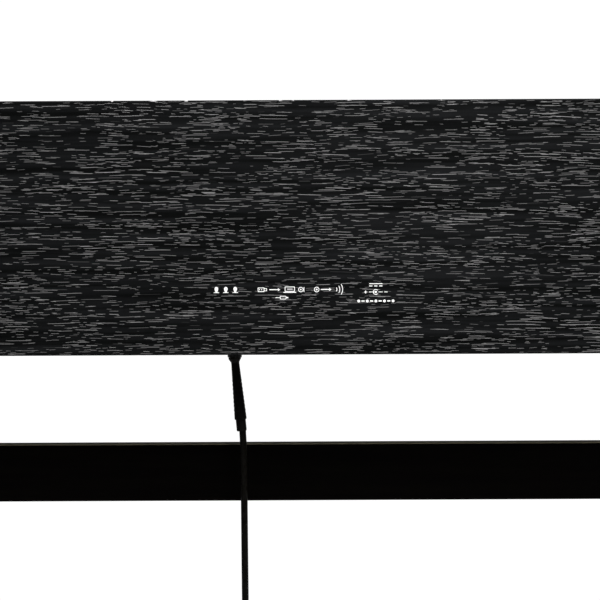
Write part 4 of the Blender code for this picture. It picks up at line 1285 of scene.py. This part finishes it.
@dataclass
class Screws:
    """A group of cross-head screws that face one way; the head's own sizes are shares of its radius."""

    name: str
    radius: float
    turn: Point
    rise: float = 0.45
    crown: float = 0.7
    slot: float = 0.24
    recess: float = 0.6

    def build(self, spots: Sequence[Point], body: str) -> None:
        """Set a domed head with a cross recess on each spot.

        Args:
            spots: Points on the surface that the heads lie on.
            body: The body that the screws ride on.
        """
        tree = Tree(self.name, Radius=self.radius, Top=self.radius * self.crown,
                    Height=self.radius * self.rise, Slot=self.radius * self.slot,
                    Depth=self.radius * self.recess, Turn=Vector(self.turn))
        sizes = {"Radius Top": tree["Top"], "Radius Bottom": tree["Radius"], "Depth": tree["Height"]}
        head = tree.add("GeometryNodeMeshCone", {"Vertices": 24, "Side Segments": 1, **sizes})
        across = tree.add("ShaderNodeCombineXYZ", (tree["Radius"], tree["Slot"], tree["Depth"])).outputs[0]
        bar = tree.add("GeometryNodeMeshCube", {"Size": across}).outputs[0]
        lift = tree.add("ShaderNodeCombineXYZ", {"Z": tree["Height"]}).outputs[0]
        lifted = tree.add("GeometryNodeTransform", {"Geometry": bar, "Translation": lift}).outputs[0]
        quarter = (0, 0, math.pi / 2)
        turned = tree.add("GeometryNodeTransform", {"Geometry": lifted, "Rotation": quarter}).outputs[0]
        cut = tree.add("GeometryNodeMeshBoolean", {"Mesh 1": head.outputs[0], "Mesh 2": lifted},
                       operation="DIFFERENCE")
        tree.tree.links.new(turned, cut.inputs["Mesh 2"])
        places = {"Points": tree["Geometry"], "Instance": cut.outputs[0], "Rotation": tree["Turn"]}
        placed = tree.add("GeometryNodeInstanceOnPoints", places).outputs[0]
        piece = tree.grow(seeds(self.name, spots), placed, Palette.screw)
        hand_over(piece, Palette.screw, body, "steel_sheet")


@dataclass
class Keyboard:
    """The keys, each shaped from the pitch of the octave, and the felt that lies over their ends."""

    pitch: float = 23.5 * MM
    gap: float = 1.0 * MM
    sharp_width: float = 10.5 * MM
    sharp_clearance: float = 1.25 * MM
    sharp_length: float = 95 * MM
    sharp_lean: float = 0.9 * MM
    sharp_slope: float = 0.62
    lip: float = 1.4 * MM
    cap: float = 3.2 * MM
    natural_length: float = 150 * MM
    under_felt: float = 10 * MM
    bar_depth: float = 14 * MM
    bar_height: float = 4.5 * MM
    count: int = 52
    octave: range = range(23, 30)
    letters: str = "ABCDEFG"

    def __post_init__(self) -> None:
        """Read the keyboard's place from the frame."""
        low, high = corners("naturals_bass")
        self.left = low.x - self.gap / 2
        self.front = low.y
        self.top = high.z
        self.bottom = low.z
        self.back = high.y
        self.sharp_top = corners("sharps_bass")[1].z
        self.end = self.front + self.natural_length

    def build(self) -> None:
        """Make every key body that the frame has."""
        groups = {"bass": range(self.octave.start), "treble": range(self.octave.stop, self.count)}
        for side, indexes in groups.items():
            self.make_naturals(f"naturals_{side}", indexes)
            self.make_sharps(f"sharps_{side}", [i for i in indexes if self.sharp_at(i) is not None])
        for i in self.octave:
            letter = self.letters[i % 7].lower()
            self.make_naturals(f"key_{letter}", [i])
            if self.sharp_at(i) is not None:
                self.make_sharps(f"key_{letter}_sharp", [i])
        dress(Palette.felt, "key_felt")
        dress(Palette.steel, "keybed_chassis")
        dress(Palette.mask, "contact_board")

    def sharp_at(self, index: int) -> float | None:
        """Find the sharp above a natural.

        Args:
            index: The natural, from the bass.

        Returns:
            The sharp's X, or None where there is none.
        """
        shifts = {"C": -2.0, "D": 2.0, "F": -3.0, "G": 0.0, "A": 3.0}
        letter = self.letters[index % 7]
        if letter not in shifts or not 0 <= index < self.count - 1:
            return None
        return self.left + (index + 1) * self.pitch + shifts[letter] * MM

    def make_naturals(self, name: str, indexes: Sequence[int]) -> None:
        """Build naturals: a thin cap that overhangs the front, the key under it and its tail.

        Args:
            name: The CAD node and body.
            indexes: Which naturals, from the bass.
        """
        bm = bmesh.new()
        shoulder = self.end - self.sharp_length - self.sharp_clearance
        half_slot = self.sharp_width / 2 + self.sharp_clearance
        under = self.top - self.cap
        hidden = self.end + self.under_felt
        bar = self.back - self.bar_depth
        for i in indexes:
            left = self.left + i * self.pitch + self.gap / 2
            right = left + self.pitch - self.gap
            below, above = self.sharp_at(i - 1), self.sharp_at(i)
            neck_left = left if below is None else below + half_slot
            neck_right = right if above is None else above - half_slot
            for low, high, front, inset in (
                (under, self.top, self.front, 0.0),
                (self.bottom + 2 * MM, under - 0.02 * MM, self.front + self.lip, 0.5 * MM),
            ):
                outline = [(left + inset, front), (right - inset, front)]
                if above is not None:
                    outline += [(right - inset, shoulder - inset), (neck_right - inset, shoulder - inset)]
                outline += [(neck_right - inset, hidden), (neck_left + inset, hidden)]
                if below is not None:
                    outline += [(neck_left + inset, shoulder - inset), (left + inset, shoulder - inset)]
                prism_into(bm, outline, low, high)
            box_into(bm, (neck_left + 1 * MM, self.end, self.bottom + 0.3 * MM),
                     (neck_right - 1 * MM, bar, self.bottom + 4.2 * MM))
        low, high = corners(name)
        box_into(bm, (low.x, bar, self.bottom), (high.x, self.back, self.bottom + self.bar_height))
        keys = new_object(f"{name}_moulding", bm)
        bevel(keys, 0.55 * MM, 3)
        hand_over(settle(keys), Palette.ivory, name, "key_ivory", name)

    def make_sharps(self, name: str, indexes: Sequence[int]) -> None:
        """Build sharps: a block with leaning sides and a sloping front, and its tail.

        Args:
            name: The CAD node and body.
            indexes: The naturals that the sharps stand above.
        """
        bm = bmesh.new()
        low, high = corners(name)
        base = low.z
        front = self.end - self.sharp_length
        half, top_half = self.sharp_width / 2, self.sharp_width / 2 - self.sharp_lean
        step = self.sharp_top - self.top
        bar = high.y - self.bar_depth
        for i in indexes:
            x = self.sharp_at(i)
            block = box_into(bm, (x - half, front, base), (x + half, self.end + 1 * MM, self.sharp_top))
            for vert in block:
                if vert.co.z > self.top:
                    vert.co.x = x + math.copysign(top_half, vert.co.x - x)
                    if vert.co.y < self.end - 10 * MM:
                        vert.co.y += step * self.sharp_slope
            box_into(bm, (x - half + 1.4 * MM, self.end - 40 * MM, base + 2.3 * MM),
                     (x + half - 1.4 * MM, bar, base + 6.2 * MM))
        inset = 1.2 * MM if len(indexes) > 1 else 0.6 * MM
        box_into(bm, (low.x + inset, bar, base + 2 * MM),
                 (high.x - 0.6 * MM, high.y, base + 2 * MM + self.bar_height))
        keys = new_object(f"{name}_moulding", bm)
        bevel(keys, 1.1 * MM, 4)
        hand_over(settle(keys), Palette.ebony, name, "key_ebony", name)


@dataclass
class Controls:
    """Buttons and the volume knob on the sloping control panel, with their symbols."""

    ribs: int = 36
    rib_radius: float = 8.25 * MM
    rib_size: Point = (0.5 * MM, 0.5 * MM, 7.2 * MM)
    rib_middle: float = 5.5 * MM
    sign_lift: float = 13.5 * MM
    wedge_lift: float = 15.5 * MM

    def build(self) -> None:
        """Make the knob and the buttons and print what they do."""
        turn = joint("volume_turn")
        self.normal = Vector(turn["axis"])
        self.seat_point = Vector(turn["pos_m"])
        self.knob()
        for name in ("power_button", "voice_button"):
            self.button(name)
        self.print_symbols()
        dress(Palette.mask, "panel_board")

    def seat(self, x: float, rise: float = 0.0) -> Matrix:
        """Find a seat on the panel.

        Args:
            x: Where it lies along the panel.
            rise: How far up the slope from the knob's line.

        Returns:
            The seat, facing out of the panel.
        """
        tilt = math.atan2(-self.normal.y, self.normal.z)
        spot = Vector((x, self.seat_point.y, self.seat_point.z))
        return Matrix.Translation(spot) @ Matrix.Rotation(tilt, 4, "X") @ Matrix.Translation((0, rise, 0))

    def knob(self) -> None:
        """Turn the knob's skirt and cap, and set grip ribs round it."""
        profile = [(0, 10.6), (5.6, 10.6), (6.0, 10.9), (7.2, 11.0), (7.9, 10.5), (8.1, 9.6), (8.4, 1.6),
                   (9.0, 1.1), (9.0, 0.6), (3.0, 0.6), (3.0, -7.0), (0, -7.0)]
        seat = self.seat(self.seat_point.x)
        cap = settle(lathe("knob_cap", profile, 64), seat)
        hand_over(cap, Palette.smooth, "volume_knob", "black_plastic", "volume_knob")
        ribs = self.knob_ribs()
        ribs.data.transform(seat @ Matrix.Translation((0, 0, self.rib_middle)))
        hand_over(ribs, Palette.smooth, "volume_knob", "black_plastic", smooth=False)
        bm = bmesh.new()
        box_into(bm, (-0.35 * MM, 2.6 * MM, 10.5 * MM), (0.35 * MM, 7.2 * MM, 11.05 * MM))
        mark = settle(new_object("knob_mark", bm), seat)
        hand_over(mark, Palette.ink, "volume_knob", "key_ivory", smooth=False)

    def knob_ribs(self) -> Piece:
        """Set upright ribs in a ring.

        Returns:
            The ribs, round the origin.
        """
        tree = Tree("knob ribs", Radius=self.rib_radius, Ribs=float(self.ribs), Size=self.rib_size)
        ring = tree.add("GeometryNodeMeshCircle", {"Vertices": self.ribs, "Radius": tree["Radius"]})
        rib = tree.add("GeometryNodeMeshCube", {"Size": tree["Size"]}).outputs[0]
        index = tree.add("GeometryNodeInputIndex").outputs[0]
        share = tree.add("ShaderNodeMath", (index, tree["Ribs"]), operation="DIVIDE").outputs[0]
        angle = tree.add("ShaderNodeMath", (share, math.tau), operation="MULTIPLY").outputs[0]
        turn = tree.add("ShaderNodeCombineXYZ", {"Z": angle}).outputs[0]
        places = {"Points": ring.outputs[0], "Instance": rib, "Rotation": turn}
        placed = tree.add("GeometryNodeInstanceOnPoints", places).outputs[0]
        return tree.grow(seeds("knob_ribs", []), placed, Palette.smooth)

    def button(self, name: str) -> None:
        """Turn a button with a dished top.

        Args:
            name: The CAD node and body.
        """
        profile = [(0, 2.15), (2.6, 2.25), (4.1, 2.5), (4.6, 2.45), (4.9, 2.2), (5.0, 1.8), (5.0, -3.3),
                   (6.5, -3.3), (6.5, -4.5), (2.0, -4.5), (2.0, -5.5), (0, -5.5)]
        cap = settle(lathe(f"{name}_cap", profile, 48), self.seat(middle(name)[0]))
        hand_over(cap, Palette.smooth, name, "black_plastic", name)

    def print_symbols(self) -> None:
        """Print a power sign, a note and a volume wedge above the controls."""
        sign = Symbols("sign_power", self.seat(middle("power_button")[0], self.sign_lift))
        sign.ring((0, 0), 1.8, 0.45, 120, 420)
        sign.line((0, 0.4), (0, 2.4), 0.45)
        sign.finish()
        note = Symbols("sign_voice", self.seat(middle("voice_button")[0], self.sign_lift))
        note.disc((-0.9, -1.5), 0.9)
        note.line((-0.2, -1.5), (-0.2, 2.0), 0.45)
        note.line((-0.2, 2.0), (1.3, 1.1), 0.6)
        note.finish()
        wedge = Symbols("sign_volume", self.seat(self.seat_point.x, self.wedge_lift))
        wedge.shape([(-5.0, -0.6), (5.0, -0.6), (5.0, 1.4)])
        wedge.finish()


@dataclass
class MusicRest:
    """Folding rest: a panel with rounded corners, a barrel along its hinge and a soft strip at its foot."""

    corner: float = 9 * MM
    half_thickness: float = 2.3 * MM
    notch: float = 45 * MM
    notch_depth: float = 6 * MM
    strip_length: float = 60 * MM
    strip_width: float = 3 * MM
    strip_rise: float = 12 * MM

    def build(self) -> None:
        """Make the panel and its strips."""
        low, high = corners("music_rest")
        axis = Vector(joint("music_rest_fold")["pos_m"])
        bottom, top = axis.z - self.half_thickness, axis.z + self.half_thickness
        r = self.corner
        outline = [(low.x, axis.y), (high.x, axis.y)]
        outline += arc((high.x - r, high.y - r), r, 0, 90, 8)
        notch, depth = self.notch, self.notch_depth
        outline += [(notch, high.y), (notch - depth, high.y - depth), (-notch + depth, high.y - depth),
                    (-notch, high.y)]
        outline += arc((low.x + r, high.y - r), r, 90, 180, 8)
        bm = bmesh.new()
        prism_into(bm, outline, bottom, top)
        panel = new_object("rest_panel", bm)
        bevel(panel, 0.9 * MM, 3)
        hand_over(settle(panel), Palette.smooth, "music_rest", "black_plastic", "music_rest")
        barrel = self.barrel(axis, high.x)
        hand_over(barrel, Palette.smooth, "music_rest", "black_plastic")
        bm = bmesh.new()
        length, foot = self.strip_length, axis.y + self.strip_rise
        for x in (low.x + length, -length / 2, high.x - 2 * length):
            box_into(bm, (x, foot, top - 0.1 * MM), (x + length, foot + self.strip_width, top + 0.35 * MM))
        strips = new_object("rest_strips", bm)
        bevel(strips, 0.2 * MM, 2)
        hand_over(settle(strips), Palette.plug, "music_rest", "cord_rubber")

    def barrel(self, axis: Vector, reach: float) -> Piece:
        """Turn the barrel along X.

        Args:
            axis: A point on the hinge's line.
            reach: Half the rest's width.

        Returns:
            The barrel.
        """
        half = reach / MM - 0.3
        radius, slim, chamfer = 3.0, 2.6, 0.5
        profile = [(0, half), (slim, half), (radius, half - chamfer), (radius, -half + chamfer),
                   (slim, -half), (0, -half)]
        made = lathe("rest_barrel", profile, 24)
        return settle(made, Matrix.Translation(axis) @ Matrix.Rotation(math.pi / 2, 4, "Y"))


@dataclass
class Sockets:
    """Connectors, electronics and speakers, which show from below."""

    screw_radius: float = 2.4 * MM
    screw_inset: Point = (20 * MM, 17 * MM)

    def build(self) -> None:
        """Dress the sockets, boards and speakers, and screw the plate on."""
        dress(Palette.shell, "jack_plate", "headphone_jacks")
        dress(Palette.smooth, "pedal_jack", "line_out_jack", "dc_inlet")
        dress(Palette.steel, "usb_socket")
        dress(Palette.mask, "main_board")
        dress(Palette.cone, "speaker_left", "speaker_right")
        low, high = corners("jack_plate")
        across, along = self.screw_inset
        spots = [(x, low.y + along, low.z) for x in (low.x + across, high.x - across)]
        Screws("plate_screws", self.screw_radius, UPSIDE_DOWN).build(spots, BASE)


@dataclass
class Stand:
    """Leg panels, feet and rails, a painted highlight strip along the rails' tops, and the caps over their
    bolts.
    """

    painted_highlight_strip: float = 0.2 * MM
    bolt_radius: float = 5.5 * MM
    two_bolts_from: float = 60 * MM
    rails: tuple[str, ...] = ("rear_rail", "pedal_beam")

    def build(self) -> None:
        """Dress the boards, lay a painted highlight strip along the rails' upper edges and cover the bolts.
        """
        dress(Palette.leg_board, "leg_panel_left", "leg_panel_right")
        dress(Palette.side_board, "foot_left", "foot_right")
        dress(Palette.rail, *self.rails)
        for name in self.rails:
            self.lay_highlight_strip(name)
        for side, sign in (("left", -1), ("right", 1)):
            low, high = corners(f"leg_panel_{side}")
            spots = [(low.x if sign < 0 else high.x, y, z) for y, z in self.bolts()]
            Screws(f"leg_bolts_{side}", self.bolt_radius, (0, sign * math.pi / 2, 0)).build(spots, BASE)

    def bolts(self) -> list[tuple[float, float]]:
        """Place one bolt in the end of a low rail and two in a tall one.

        Returns:
            Y and Z of each bolt.
        """
        spots = []
        for name in self.rails:
            low, high = corners(name)
            tall = high.z - low.z
            shares = (0.25, 0.75) if tall >= self.two_bolts_from else (0.5,)
            spots += [(middle(name)[1], low.z + tall * share) for share in shares]
        return spots

    def lay_highlight_strip(self, name: str) -> None:
        """Lay a strip along a rail's upper edge, coloured as a painted highlight of its lit top face.

        Args:
            name: The rail's CAD node.
        """
        low, high = corners(name)
        bm = bmesh.new()
        # Painted highlight: a pale strip in place of the light that falls on the rail's top.
        box_into(bm, (low.x, low.y, high.z - 0.02 * MM), (high.x, high.y, high.z + self.painted_highlight_strip))
        strip = new_object(f"{name}_edging", bm)
        bevel(strip, 0.06 * MM, 1)
        hand_over(settle(strip), Palette.painted_highlight_strip, BASE, "rail_laminate")


@dataclass
class PedalBox:
    """Housing, axle, three brass pedals and the springs under them."""

    pads: tuple[str, ...] = ("soft", "sostenuto", "damper")
    screw_radius: float = 3.2 * MM
    screw_inset: Point = (12 * MM, 14 * MM)
    coil_radius: float = 5.5 * MM
    wire_radius: float = 0.9 * MM
    coil_turns: float = 5.0

    def build(self) -> None:
        """Dress the housing and make the pedals and springs."""
        dress(Palette.shell, "pedal_housing")
        dress(Palette.steel, "pedal_axle")
        for name in self.pads:
            self.pedal(name)
            self.spring(name)
        low, high = corners("pedal_housing")
        across, along = self.screw_inset
        columns = (low.x + across, high.x - across)
        rows = (low.y + along, high.y - along)
        spots = [(x, y, low.z) for x in columns for y in rows]
        Screws("housing_screws", self.screw_radius, UPSIDE_DOWN).build(spots, BASE)

    def pedal(self, name: str) -> None:
        """Cast a pedal: a crowned pad that narrows to a straight lever.

        Args:
            name: Which pedal.
        """
        low, high = corners(f"pedal_{name}")
        x, _, mid = middle(f"pedal_{name}")
        # Each station: millimetres from the front, half the width in millimetres, share of the thickness.
        stations = [(0.0, 4.0, 0.45), (2.5, 8.6, 0.8), (8.0, 12.2, 1.0), (18.0, 13.0, 1.0),
                    (32.0, 12.4, 1.0), (46.0, 9.4, 1.0), (60.0, 7.1, 1.0), (80.0, 7.0, 1.0),
                    (130.0, 7.0, 1.0), (180.0, 7.0, 1.0), (199.6, 7.0, 1.0)]
        # Each corner of the section is a share of half the width and of half the thickness.
        edge, shoulder = 0.86, 0.75
        section = [(-1, -0.5), (-edge, -1), (0, -1), (edge, -1), (1, -0.5), (1, 0.4), (edge, shoulder),
                   (0, 1), (-edge, shoulder), (-1, 0.4)]
        rings = []
        for along, half, full in stations:
            y = low.y + along * MM
            tall = (high.z - low.z) / 2 * full
            rings.append([(x + half * MM * across, y, mid + tall * up) for across, up in section])
        cast = loft(f"pedal_{name}_casting", rings)
        smooth = cast.modifiers.new("smooth", "SUBSURF")
        smooth.levels = smooth.render_levels = 2
        hand_over(settle(cast), Palette.brass, f"pedal_{name}", "pedal_brass", f"pedal_{name}")

    def spring(self, name: str) -> None:
        """Wind the coil spring under a pedal.

        Args:
            name: Which pedal.
        """
        low, high = corners(f"pedal_spring_{name}")
        height = high.z - low.z - 2 * self.wire_radius
        tree = Tree(f"coil {name}", Radius=self.coil_radius, Wire=self.wire_radius, Height=height,
                    Turns=self.coil_turns)
        path = {"Start Radius": tree["Radius"], "End Radius": tree["Radius"], "Height": tree["Height"],
                "Rotations": tree["Turns"], "Resolution": 24}
        coil = tree.add("GeometryNodeCurveSpiral", path).outputs[0]
        wire = tree.add("GeometryNodeCurvePrimitiveCircle", {"Resolution": 10, "Radius": tree["Wire"]})
        run = {"Curve": coil, "Profile Curve": wire.outputs[0], "Fill Caps": True}
        solid = tree.add("GeometryNodeCurveToMesh", run).outputs[0]
        spring = tree.grow(seeds(f"coil_{name}", []), solid, Palette.steel)
        x, y, _ = middle(f"pedal_spring_{name}")
        centre = Vector((x, y, low.z + self.wire_radius))
        spring.data.transform(Matrix.Translation(centre))
        hand_over(spring, Palette.steel, BASE, "steel_sheet", f"pedal_spring_{name}")
        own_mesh(spring)


def main() -> None:
    """Build every sub-assembly."""
    logging.basicConfig(level=logging.INFO, format="%(message)s")
    builders: tuple[Callable[[], None], ...] = (
        Studio().build,
        PedalLine().build,
        Case().build,
        Keyboard().build,
        Controls().build,
        MusicRest().build,
        Sockets().build,
        Stand().build,
        PedalBox().build,
    )
    for build in builders:
        build()


if __name__ == "__main__":
    main()
